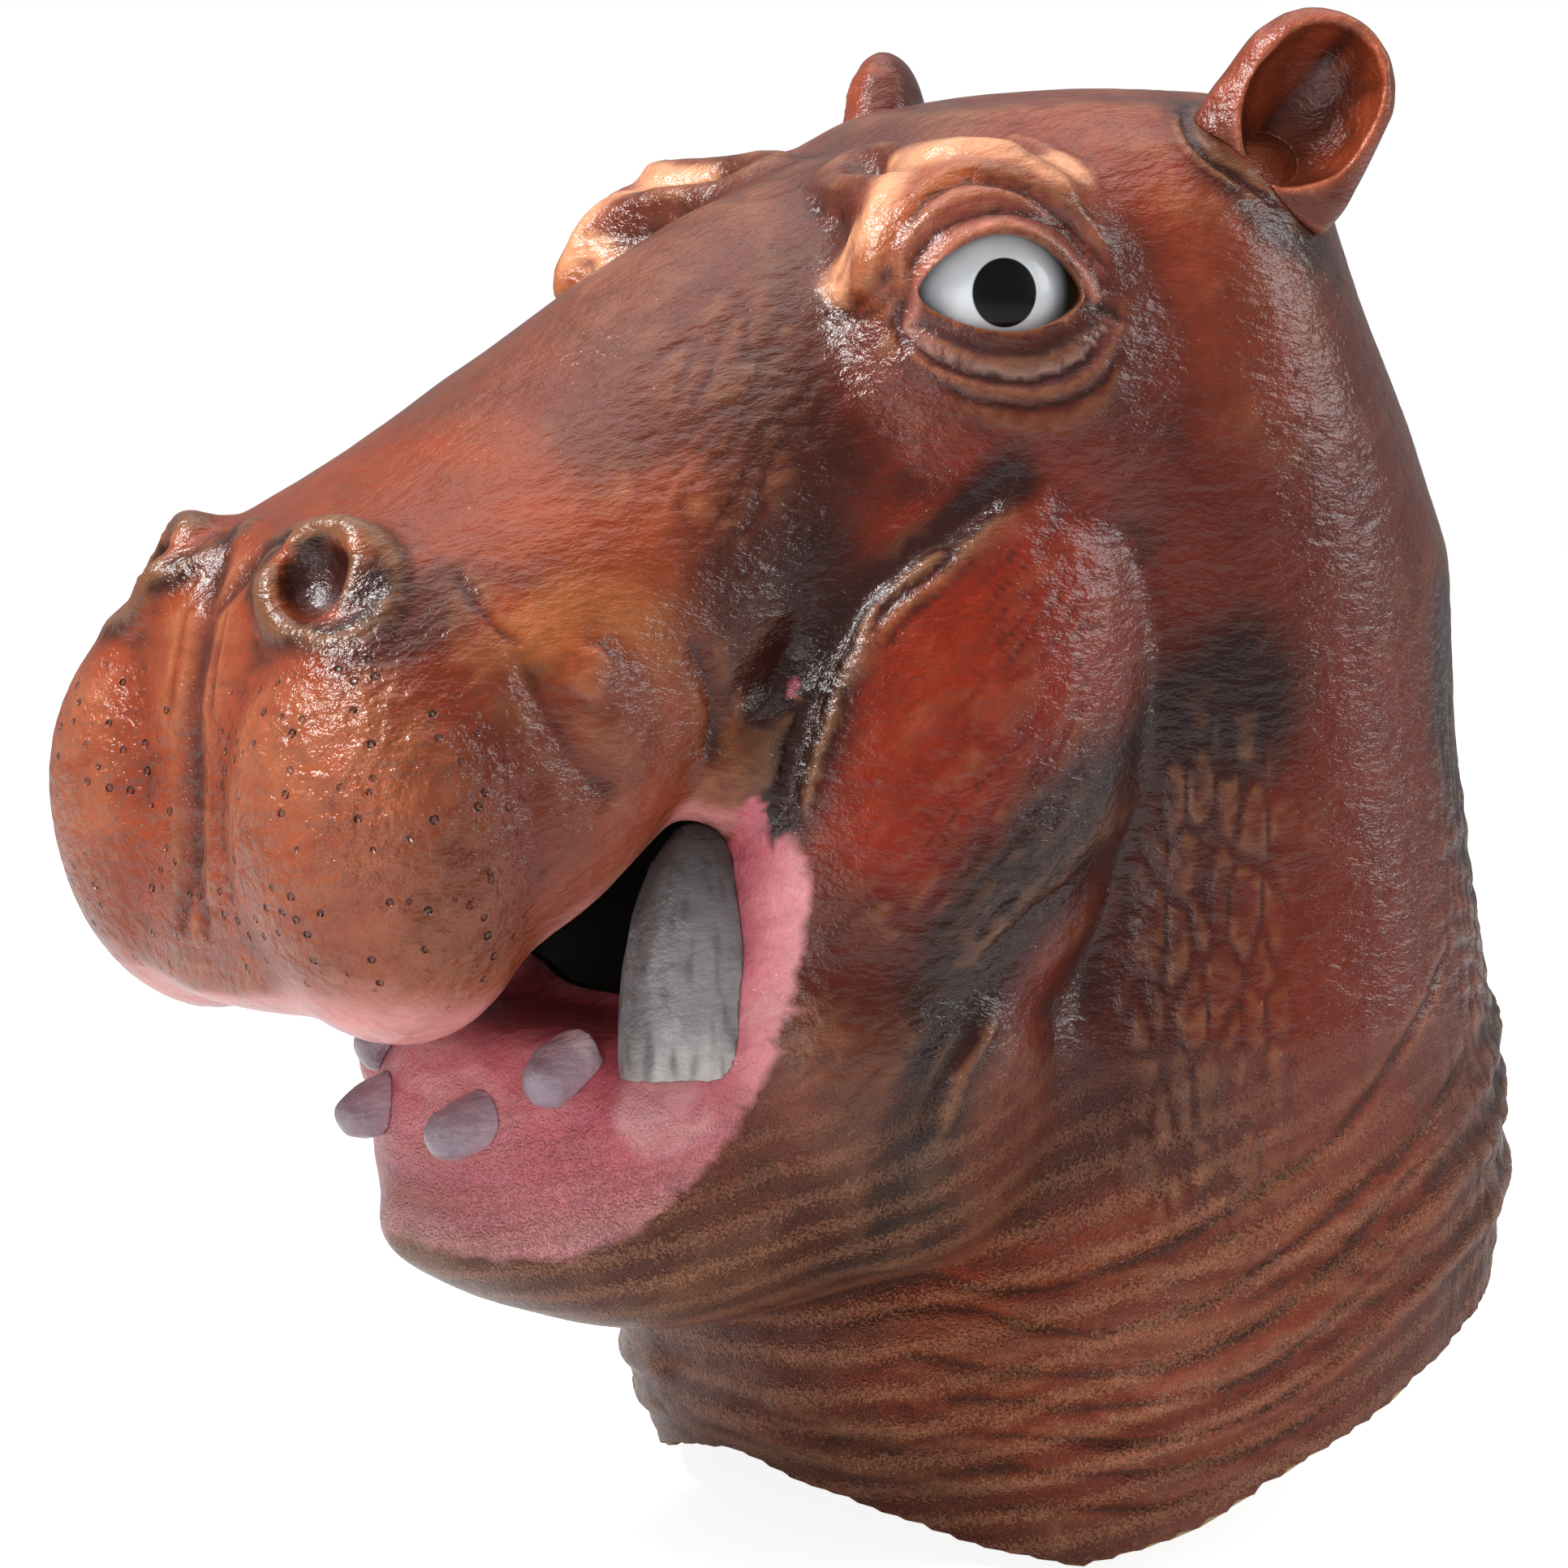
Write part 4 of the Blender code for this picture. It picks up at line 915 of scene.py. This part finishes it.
def paintSkin(skin, tree):
    data = skin.data
    points = readPoints(data)
    normals = readNormals(data)
    colours = np.tile(linear(paintBase), (len(points), 1))
    wander = points + 0.0022 * np.stack([noiseOf(points + shift, 0.012) for shift in (0, 5, 9)], axis=1)
    for colour, radius, soft, strength, pixels in paintStrokes:
        line = layOnSkin(tree, pixels)
        distance = nearness(wander if radius > 3 else points, line, 0.001 * (radius + soft))
        colours = paintWith(colours, strength * (1 - ramp(distance, 0.001 * (radius - soft / 2),
            0.001 * (radius + soft / 2))), colour)
    # a red-brown glaze lies over all the strokes
    colours = colours * linear(paintGlaze)
    # creases are painted darker as shade and crests paler as a painted highlight
    depth = hollows(data)
    colours = paintWith(colours, 0.75 * ramp(depth, 0.00004, 0.00045), "#34150E")
    colours = paintWith(colours, 0.26 * ramp(-depth, 0.00008, 0.00050), "#C8875C")
    # mouth
    gum, crest = mouthWeights(points)
    under = ramp(-normals[:, 2], 0.50, 0.80) * ramp(-points[:, 1], 0.085, 0.10) * ramp(-points[:, 2], 0.145,
        0.155)
    under *= 1 - ramp(-points[:, 2], 0.226, 0.232)
    colours = paintWith(colours, under, mouthPaint["underLip"])
    blotch = 0.5 + 0.5 * noiseOf(points, 0.010)
    # painted highlight along the lip's crest
    gumColour = paintWith(np.tile(linear(mouthPaint["gum"]), (len(points), 1)), crest * 1.2,
        mouthPaint["lip"])
    # painted shade in the gum's creases, mixed with random darker blotches
    gumColour = paintWith(gumColour, (0.55 * ramp(depth, 0, 0.0004) + 0.25 * ramp(blotch, 0.5,
        1.0)) * (1 - 0.6 * crest), mouthPaint["gumShadeAndBlotch"])
    # painted highlight on the gum's crests
    gumColour = paintWith(gumColour, 0.55 * ramp(-depth, 0.0001, 0.0006), "#F0B8B8")
    colours = colours * (1 - gum[:, None]) + gumColour * gum[:, None]
    # painted shade: black in the hollow behind the mouth
    throat = ramp(points[:, 1], -0.152, -0.135) * (1 - ramp(np.abs(points[:, 0]), 0.050, 0.058))
    throat *= ramp(-points[:, 2], 0.13, 0.15) * (1 - ramp(-points[:, 2], 0.245, 0.255)) * (1 - ramp(points[:,
        1], -0.08, -0.07))
    colours = paintWith(colours, throat, mouthPaint["throat"])
    zones = zoneWeights(points, tree)
    zones["pores"] *= (1 - gum) * (1 - under)
    writeColours(data, "paint", colours)
    writeColours(data, "zones", np.stack([zones["pores"], gum, zones["crinkle"]], axis=1))


def writeColours(data, name, colours):
    layer = data.color_attributes.new(name, "FLOAT_COLOR", "POINT")
    filled = np.concatenate([colours, np.ones((len(colours), 1))], axis=1)
    layer.data.foreach_set("color", filled.astype(np.float32).ravel())


def sortFaces(skin, form):
    # painted outside first, bare latex for the inner wall and the trimmed edge second
    tree = treeOf(form)
    eyes = [eyeFrame(side).translation for side in sides.values()]
    for face in skin.data.polygons:
        centre = face.center
        hit = tree.find_nearest(centre, 0.004)
        outer = hit[3] is not None and hit[3] < 0.0009
        nearEye = min((centre - middle).length for middle in eyes) < eyeRadius + 0.006
        face.material_index = 0 if outer or (nearEye and hit[3] is not None) else 1


paintSkin(headSkin, formTree)
sortFaces(headSkin, form)
print("skin painted")

# Materials


def addNode(tree, kind, links=None, **settings):
    # a shader node with its settings, and its inputs set to values or joined to other nodes' outputs
    node = tree.nodes.new("ShaderNode" + kind)
    for key, value in settings.items():
        setattr(node, key, value)
    for name, value in (links or {}).items():
        socket = node.inputs[name]
        if isinstance(value, bpy.types.NodeSocket):
            tree.links.new(value, socket)
        else:
            socket.default_value = value
    return node


def newMaterial(name, **sockets):
    material = bpy.data.materials.new(name)
    material.use_nodes = True
    shader = material.node_tree.nodes["Principled BSDF"]
    for key, value in sockets.items():
        shader.inputs[key.replace("_", " ")].default_value = value
    return material, material.node_tree, shader


def rgba(hexColour):
    return (*linear(hexColour), 1)


def product(tree, first, second):
    return addNode(tree, "Math", {0: first, 1: second}, operation="MULTIPLY").outputs["Value"]


def spread(tree, value, low, high, toLow=0.0, toHigh=1.0, **settings):
    ends = {"From Min": low, "From Max": high, "To Min": toLow, "To Max": toHigh}
    return addNode(tree, "MapRange", {"Value": value, **ends}, **settings).outputs["Result"]


def clouds(tree, place, size, detail, roughness=0.5):
    return addNode(tree, "TexNoise", {"Vector": place, "Scale": 1 / size, "Detail": detail,
        "Roughness": roughness})


def blend(tree, share, under, over):
    # each side is a hex colour or another node's output
    under, over = (rgba(side) if isinstance(side, str) else side for side in (under, over))
    return addNode(tree, "Mix", {0: share, 6: under, 7: over}, data_type="RGBA").outputs[2]


def relief(tree, height, strength, distance, under=None, **settings):
    links = {"Height": height, "Strength": strength, "Distance": distance}
    if under is not None:
        links["Normal"] = under
    return addNode(tree, "Bump", links, **settings).outputs["Normal"]


# pattern sizes and relief depths in metres
paintedFinish = {
    "grainSize": 0.0016, "grainRelief": 0.00015, "creaseSize": 0.0036, "creaseRelief": 0.0008,
    "mottleSize": 0.014, "speckSize": 0.0022, "warpSize": 0.008, "warpReach": 0.0022,
    "poreSpacing": 0.0056, "poreRelief": 0.0018, "lumpSize": 0.0040, "lumpRelief": 0.0019,
    "foldPitch": 0.0095, "foldRelief": 0.0018, "foldTop": -0.236, "foldFull": -0.285,
    "foldHighlight": "#C2835E", "pitShade": "#3A1A10", "wetRoughness": 0.26,
    "glaze": 0.62, "glazeRoughness": 0.12,
}


def makePaintedLatex(name, hasZones=True):
    # cast natural latex airbrushed with latex paint and glazed: a soft sheen broken by fine skin grain,
    # darker in the creases, with sharp highlights where the glaze lies thick
    material, tree, shader = newMaterial(
        name, IOR=1.52, Specular_IOR_Level=0.18,
        Coat_Weight=paintedFinish["glaze"], Coat_Roughness=paintedFinish["glazeRoughness"])
    place = addNode(tree, "TexCoord").outputs["Object"]
    paint = addNode(tree, "VertexColor", layer_name="paint").outputs["Color"]
    mottle = clouds(tree, place, paintedFinish["mottleSize"], 6, 0.62).outputs["Fac"]
    speck = clouds(tree, place, paintedFinish["speckSize"], 3, 0.6).outputs["Fac"]
    shade = product(tree, spread(tree, mottle, 0.3, 0.7, 0.80, 1.18), spread(tree, speck, 0.3, 0.7, 0.93,
        1.07))
    tone = addNode(tree, "VectorMath", {0: paint, "Scale": shade}, operation="SCALE").outputs["Vector"]
    # fine cracked grain of the skin, and broader soft creases
    warp = clouds(tree, place, paintedFinish["warpSize"], 2).outputs["Color"]
    bent = addNode(tree, "VectorMath", {0: warp, 1: (paintedFinish["warpReach"],) * 3, 2: place},
                   operation="MULTIPLY_ADD").outputs["Vector"]
    grain = addNode(tree, "TexVoronoi", {"Vector": bent, "Scale": 1 / paintedFinish["grainSize"]},
                    feature="DISTANCE_TO_EDGE").outputs["Distance"]
    slant = addNode(tree, "Mapping", {"Vector": bent, "Rotation": (radians(38), 0, 0), "Scale": (1.0, 0.35,
        1.0)})
    crease = clouds(tree, slant.outputs["Vector"], paintedFinish["creaseSize"], 4, 0.6).outputs["Fac"]
    surface = relief(tree, spread(tree, crease, 0.25, 0.75), 0.75, paintedFinish["creaseRelief"])
    surface = relief(tree, spread(tree, grain, 0.0, 0.22), 0.14, paintedFinish["grainRelief"], surface)
    rough = spread(tree, mottle, 0.3, 0.7, 0.24, 0.42)
    if hasZones:
        layer = addNode(tree, "VertexColor", layer_name="zones").outputs["Color"]
        zones = addNode(tree, "SeparateColor", {"Color": layer}).outputs
        # many fine wavy folds low on the neck, with a painted highlight along their crests
        tipped = addNode(tree, "Mapping", {"Vector": place, "Rotation": (radians(-20), 0,
            0)}).outputs["Vector"]
        waves = addNode(tree, "TexWave", {
            "Vector": tipped, "Scale": 2 * pi / (20 * paintedFinish["foldPitch"]),
            "Distortion": 5.0, "Detail": 2.0, "Detail Scale": 38.0}, bands_direction="Z").outputs["Fac"]
        height = addNode(tree, "SeparateXYZ", {"Vector": place}).outputs["Z"]
        folds = product(tree, waves, spread(tree, height, paintedFinish["foldTop"],
            paintedFinish["foldFull"]))
        surface = relief(tree, folds, 0.8, paintedFinish["foldRelief"], surface)
        tone = blend(tree, product(tree, folds, 0.42), tone, paintedFinish["foldHighlight"])
        # whisker pits on the muzzle, drawn a little larger than life, and lumps between them
        pits = addNode(tree, "TexVoronoi", {
            "Vector": place, "Scale": 1 / paintedFinish["poreSpacing"],
                "Randomness": 0.9}).outputs["Distance"]
        pit = product(tree, spread(tree, pits, 0.10, 0.22, 1.0, 0.0, interpolation_type="SMOOTHSTEP"),
            zones["Red"])
        surface = relief(tree, pit, 1.0, paintedFinish["poreRelief"], surface, invert=True)
        lumps = product(tree, clouds(tree, place, paintedFinish["lumpSize"], 3).outputs["Fac"], zones["Red"])
        surface = relief(tree, lumps, 0.9, paintedFinish["lumpRelief"], surface)
        # the pits are painted darker as shade
        tone = blend(tree, product(tree, pit, 0.45), tone, paintedFinish["pitShade"])
        # the gums were painted wetter and smoother
        rough = addNode(tree, "Mix", {0: zones["Green"], 2: rough, 3: paintedFinish["wetRoughness"]},
                        data_type="FLOAT").outputs[0]
    tree.links.new(rough, shader.inputs["Roughness"])
    tree.links.new(tone, shader.inputs["Base Color"])
    tree.links.new(surface, shader.inputs["Normal"])
    tree.links.new(surface, shader.inputs["Coat Normal"])
    return material


rawLook = {"cream": "#C9AC74", "stain": "#A98A56", "mouthShade": "#140D0C", "cloudSize": 0.016, "lumpSize": 0.005,
           "lumpRelief": 0.0006, "mouthShadeCentre": (0, -0.11, -0.17), "mouthShadeFull": 0.115, "mouthShadeEnd": 0.165}


def makeRawLatex():
    # unpainted cast latex: cream yellow, matt and a little translucent, with the mould's faint lumps,
    # and black near the mouth as painted shade
    material, tree, shader = newMaterial(
        "rawLatex", IOR=1.52, Roughness=0.62, Subsurface_Weight=0.12,
        Subsurface_Radius=(0.012, 0.008, 0.004), Subsurface_Scale=0.1)
    place = addNode(tree, "TexCoord").outputs["Object"]
    cloud = clouds(tree, place, rawLook["cloudSize"], 5).outputs["Fac"]
    away = addNode(tree, "VectorMath", {0: place, 1: rawLook["mouthShadeCentre"]},
        operation="DISTANCE").outputs["Value"]
    inMouthShade = spread(tree, away, rawLook["mouthShadeFull"], rawLook["mouthShadeEnd"], 1.0, 0.0)
    colour = blend(tree, inMouthShade, blend(tree, cloud, rawLook["cream"], rawLook["stain"]), rawLook["mouthShade"])
    lumps = clouds(tree, place, rawLook["lumpSize"], 3).outputs["Fac"]
    tree.links.new(colour, shader.inputs["Base Color"])
    tree.links.new(relief(tree, lumps, 0.4, rawLook["lumpRelief"]), shader.inputs["Normal"])
    return material


eyeLook = {"pupilRadius": 0.0085, "softEdge": 0.0004, "pupil": "#050505", "white": "#DDE3E8",
    "veil": "#EEF2F5",
           "edge": "#8E99A6", "cloudSize": 0.006, "shadowStart": 0.012, "shadowEnd": 0.024}


def makePaintedEye(name, side):
    # vacuum-formed plastic eye, white enamel with a black pupil under clear lacquer: glassy and hard
    material, tree, shader = newMaterial(
        name, IOR=1.50, Roughness=0.3, Specular_IOR_Level=0.15, Coat_Weight=0.34, Coat_Roughness=0.05)
    place = addNode(tree, "TexCoord").outputs["Object"]
    look = tuple(eyeFrame(side) @ Vector((0, -eyeRadius, 0)))
    away = addNode(tree, "VectorMath", {0: place, 1: look}, operation="DISTANCE").outputs["Value"]
    start = eyeLook["pupilRadius"] - 0.00015
    pupil = spread(tree, away, start, start + eyeLook["softEdge"], 1.0, 0.0)
    cloud = clouds(tree, place, eyeLook["cloudSize"], 3).outputs["Fac"]
    shadow = spread(tree, away, eyeLook["shadowStart"], eyeLook["shadowEnd"])
    white = blend(tree, shadow, blend(tree, cloud, eyeLook["white"], eyeLook["veil"]), eyeLook["edge"])
    tree.links.new(blend(tree, pupil, white, eyeLook["pupil"]), shader.inputs["Base Color"])
    return material


paintedLatex = makePaintedLatex("paintedLatex")
plainLatex = makePaintedLatex("paintedLatexPieces", hasZones=False)
rawLatex = makeRawLatex()
print("skin materials made")


def finishPiece(piece, node, slot, *materials):
    sorting = [0] * len(piece.data.polygons)
    piece.data.polygons.foreach_get("material_index", sorting)
    piece.data.materials.clear()
    for material in materials:
        piece.data.materials.append(material)
    piece.data.polygons.foreach_set("material_index", [min(index, len(materials) - 1) for index in sorting])
    piece.data.polygons.foreach_set("use_smooth", [True] * len(piece.data.polygons))
    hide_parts(node)
    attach(piece, "root")
    return piece


# eyes
def makeEye(label, side):
    mesh = bmesh.new()
    swelling(mesh, (0, 0, 0), (eyeRadius - 0.0002,) * 3, subdivisions=6)
    bmesh.ops.bisect_plane(
        mesh, geom=mesh.verts[:] + mesh.edges[:] + mesh.faces[:], plane_co=(0,
            -eyeRadius * cos(radians(eye["spread"])), 0),
        plane_no=(0, 1, 0), clear_outer=True)
    bmesh.ops.transform(mesh, matrix=eyeFrame(side), verts=mesh.verts)
    dome = meshPiece("eyeDome_" + label, mesh)
    addModifier(dome, "SOLIDIFY", thickness=0.0018, offset=-1)
    bake(dome)
    return finishPiece(dome, "eye_" + label, "eye_gloss_" + label, makePaintedEye("paintedEye_" + label,
        side))


# ears: cupped, with a rolled rim and a groove behind the front fold
ear = {"length": 0.047, "width": 0.043, "depth": 0.026, "side": 0.375, "back": -0.016, "drop": 0.065,
       "turn": 50, "lean": 31, "wall": 0.0030, "voxel": 0.0011}
# the deep colour paints shade into the ear's groove and creases and darkens its foot; the crest colour is a
# painted highlight
earColours = {"outside": "#5E281B", "cup": "#8A3A1E", "deep": "#2E120C", "crest": "#C06A4A"}


def earFrame(side):
    foot = Vector((side * ear["side"] * hoodWidth, -ear["back"] * hoodLength, -ear["drop"] * hoodDepth))
    swing = Matrix.Rotation(radians(side * ear["turn"]), 4, "Z")
    return Matrix.Translation(foot) @ swing @ Matrix.Rotation(radians(side * ear["lean"]), 4, "Y")


def earFields(piece, place, side):
    # points, their height in the ear, how far each lies in the cup and its distance to the inner fold
    inverse = place.inverted()
    points = readPoints(piece.data)
    local = np.array([(inverse @ Vector(p))[:] for p in points])
    normals = readNormals(piece.data) @ np.array(place.to_3x3())
    inCup = ramp(-normals[:, 1], 0.0, 0.6) * ramp(-local[:, 1], -0.012, 0.0)
    return points, local[:, 2], inCup, np.abs(local[:, 0] * side + 0.006 - 0.15 * local[:, 2])


def makeEar(label, side):
    place = earFrame(side)
    shell = bmesh.new()
    loftRings(shell, [
        [place @ Vector((x, y, along * ear["length"]))
         for x, y in rounded(wide * ear["width"], -deep * ear["depth"] / 2, 0, deep * ear["depth"] / 2, 2, 2)]
        for along, wide, deep in earProfile])
    piece = meshPiece("earShell_" + label, shell)
    remesh(piece, ear["voxel"], 10)
    cup = bmesh.new()
    radii = (0.92 * (ear["width"] / 2 - ear["wall"]), ear["depth"] - ear["wall"], 0.50 * ear["length"])
    centre = place @ Vector((side * 0.0015, -ear["depth"] / 2, 0.49 * ear["length"]))
    bmesh.ops.create_icosphere(
        cup, subdivisions=4, radius=1,
        matrix=Matrix.Translation(centre) @ place.to_3x3().to_4x4() @ Matrix.Diagonal((*radii, 1)))
    carve(piece, meshPiece("earCup_" + label, cup))
    remesh(piece, ear["voxel"], 6)
    points, height, inCup, fold = earFields(piece, place, side)
    groove = np.exp(-(fold / 0.0022) ** 2) * inCup * ramp(height, 0.006, 0.014) * (1 - ramp(height, 0.034,
        0.042))
    ripples = np.sin(height / 0.0032 + 3 * noiseOf(points, 0.012)) * 0.00025 * inCup
    heights = -0.0022 * groove + ripples + 0.0004 * noiseOf(points, 0.010)
    writePoints(piece.data, points + readNormals(piece.data) * heights[:, None])
    carve(piece, copyOf(clearanceForm, "earClearance_" + label))
    points, height, inCup, fold = earFields(piece, place, side)
    depth = hollows(piece.data)
    colours = np.tile(linear(earColours["outside"]), (len(points), 1))
    # painted shade in the fold's groove and in creases, darker towards the foot, and a painted highlight on the
    # crests
    for weights, paint in (
            (0.9 * inCup, "cup"),
            (0.85 * np.exp(-(fold / 0.0032) ** 2) * inCup * ramp(height, 0.004, 0.014), "deep"),
            (0.85 * (1 - ramp(height, 0.004, 0.016)) * (1 - 0.4 * inCup), "deep"),
            (0.7 * ramp(depth, 0.00002, 0.0002), "deep"),
            (0.5 * ramp(-depth, 0.00004, 0.0003), "crest")):
        colours = paintWith(colours, weights, earColours[paint])
    writeColours(piece.data, "paint", colours)
    return finishPiece(piece, "ear_" + label, "ear_latex_" + label, plainLatex)


# teeth: blunt, with a ragged painted foot
toothColours = {"tusk": "#939091", "tuskTip": "#3E3B3C", "tuskEdge": "#2E2B2C", "tuskFoot": "#CCC5C3",
    "peg": "#B79CA8", "pegTip": "#8D7A86", "pegFoot": "#E2C9CC", "pegEdge": "#A497A0"}
tuskProfile = [(-0.11, 0.35), (-0.08, 0.66), (-0.02, 0.90), (0.06, 1.04), (0.15, 1.11), (0.30, 1.12), (0.50,
    1.05), (0.68, 0.92), (0.84, 0.70), (0.94, 0.46), (1.0, 0.20)]
pegProfile = [(-0.1, 1.0), (0.5, 0.97), (0.80, 0.86), (0.94, 0.62), (1.0, 0.30)]
pegRadius = 0.0075


def paintTooth(piece, start, end, kind):
    body, tip, foot, edge = (toothColours[kind + part] for part in ("", "Tip", "Foot", "Edge"))
    points = readPoints(piece.data)
    normals = readNormals(piece.data)
    axis = np.array((end - start)[:])
    along = ((points - np.array(start[:])) @ axis) / (axis @ axis)
    streak = noiseOf(points * np.array([1, 1, 0.25]), 0.0022)
    colours = np.tile(linear(body), (len(points), 1))
    colours = paintWith(colours, ramp(along, 0.45, 1.0) * 0.9, tip)
    colours = paintWith(colours, (1 - ramp(along + 0.10 * streak, 0.10, 0.34)) * 0.85, foot)
    # painted shade where the tooth turns forward and back, and random streaks of the same grey
    colours = paintWith(colours, 0.55 * ramp(np.abs(normals[:, 1]), 0.55, 1.0), edge)
    colours = paintWith(colours, 0.35 * ramp(streak, 0.1, 0.5), edge)
    writeColours(piece.data, "paint", colours)


def makeTusk(label, side):
    foot, top = jawPoint(side, tuskFoot), jawPoint(side, tuskTip)
    rings = []
    for along, size in tuskProfile:
        centre = foot + (top - foot) * along
        rings.append([centre + Vector((cos(a) * size * tusk["depth"] / 2, sin(a) * size * tusk["width"] / 2,
            0))
                      for a in (2 * pi * step / 32 for step in range(32))])
    shell = bmesh.new()
    loftRings(shell, rings)
    piece = meshPiece("tuskShell_" + label, shell)
    remesh(piece, 0.0011, 12)
    points = readPoints(piece.data)
    rib = noiseOf(points * np.array([1, 1, 0.2]), 0.0030)
    writePoints(piece.data, points + readNormals(piece.data) * (0.00035 * rib)[:, None])
    carve(piece, copyOf(clearanceForm, "tuskClearance_" + label))
    paintTooth(piece, foot, top, "tusk")
    return finishPiece(piece, "tusk_" + label, "tusk_latex_" + label, plainLatex)


def makePeg(row, label, side, base, tip):
    start, end = jawPoint(side, base), jawPoint(side, tip)
    facing = (end - start).to_track_quat("Z", "X")
    length = (end - start).length
    mesh = bmesh.new()
    loftRings(mesh, [
        [start + facing @ Vector((size * pegRadius * cos(a), size * pegRadius * sin(a), along * length))
         for a in (2 * pi * step / 24 for step in range(24))]
        for along, size in pegProfile])
    piece = meshPiece("incisorPeg_" + row + "_" + label, mesh)
    remesh(piece, 0.0009, 8)
    points = readPoints(piece.data)
    writePoints(piece.data, points + readNormals(piece.data) * (0.0007 * noiseOf(points, 0.006))[:, None])
    carve(piece, copyOf(clearanceForm, "pegClearance_" + row + label))
    paintTooth(piece, start, end, "peg")
    return finishPiece(piece, "incisor_" + row + "_" + label, "incisor_latex_" + row + "_" + label,
        plainLatex)


clearanceForm = copyOf(form, "clearanceForm")
addModifier(clearanceForm, "DISPLACE", strength=0.0002, mid_level=0)
bake(clearanceForm)
finishPiece(headSkin, "head_skin", "skin_latex", paintedLatex, rawLatex)
for label, side in sides.items():
    makeEye(label, side)
    makeEar(label, side)
    makeTusk(label, side)
    for row, base, tip in pegs:
        makePeg(row, label, side, base, tip)
bpy.data.objects.remove(clearanceForm)
bpy.data.objects.remove(form)
print("eyes, ears and teeth fitted")

# studio
studio = {"floorHeight": -0.372, "keyPower": 46, "fillPower": 7, "rimPower": 7, "worldBrightness": 0.26,
    "backdrop": 1.0, "floorGlow": 0.86, "topPower": 10}

floorMesh = bmesh.new()
bmesh.ops.create_grid(floorMesh, x_segments=1, y_segments=1, size=6)
bmesh.ops.translate(floorMesh, verts=floorMesh.verts, vec=(0, 0, studio["floorHeight"]))
floor = meshPiece("studioFloor", floorMesh)
# matt pale sweep, lifted to white where it is seen directly
floorPaint, floorTree, floorShader = newMaterial("mattWhiteSweep", Base_Color=rgba("#D8D8D8"), Roughness=0.9,
    Emission_Color=(1, 1, 1, 1))
floorSeen = addNode(floorTree, "LightPath").outputs["Is Camera Ray"]
floorGlow = product(floorTree, floorSeen, studio["floorGlow"])
floorTree.links.new(floorGlow, floorShader.inputs["Emission Strength"])
floor.data.materials.append(floorPaint)


def areaLight(name, spot, aim, size, power):
    lamp = bpy.data.lights.new(name, "AREA")
    lamp.shape = "RECTANGLE"
    lamp.size, lamp.size_y = size
    lamp.energy = power
    made = bpy.data.objects.new(name, lamp)
    facing = (Vector(aim) - Vector(spot)).to_track_quat("-Z", "Y").to_matrix().to_4x4()
    made.matrix_world = Matrix.Translation(spot) @ facing
    bpy.context.scene.collection.objects.link(made)


areaLight("keyLight", (-0.10, -1.15, 1.25), (0, -0.08, -0.15), (0.8, 0.6), studio["keyPower"])
areaLight("fillLight", (1.2, -1.6, -0.1), (0, -0.05, -0.2), (1.0, 0.6), studio["fillPower"])
areaLight("rimLight", (0.9, 1.3, 0.5), (0, 0.0, -0.15), (0.5, 1.0), studio["rimPower"])
areaLight("topLight", (-0.2, 0.2, 1.5), (0, 0, 0), (1.6, 1.6), studio["topPower"])
world = bpy.data.worlds.new("studioWorld")
world.use_nodes = True
# the backdrop shows pure white, while it lights the mask more softly
worldTree = world.node_tree
seen = addNode(worldTree, "LightPath").outputs["Is Camera Ray"]
strength = spread(worldTree, seen, 0.0, 1.0, studio["worldBrightness"], studio["backdrop"])
worldTree.nodes["Background"].inputs["Color"].default_value = (1, 1, 1, 1)
worldTree.links.new(strength, worldTree.nodes["Background"].inputs["Strength"])
bpy.context.scene.world = world
bpy.context.scene.view_settings.view_transform = "Standard"
print("studio set up")
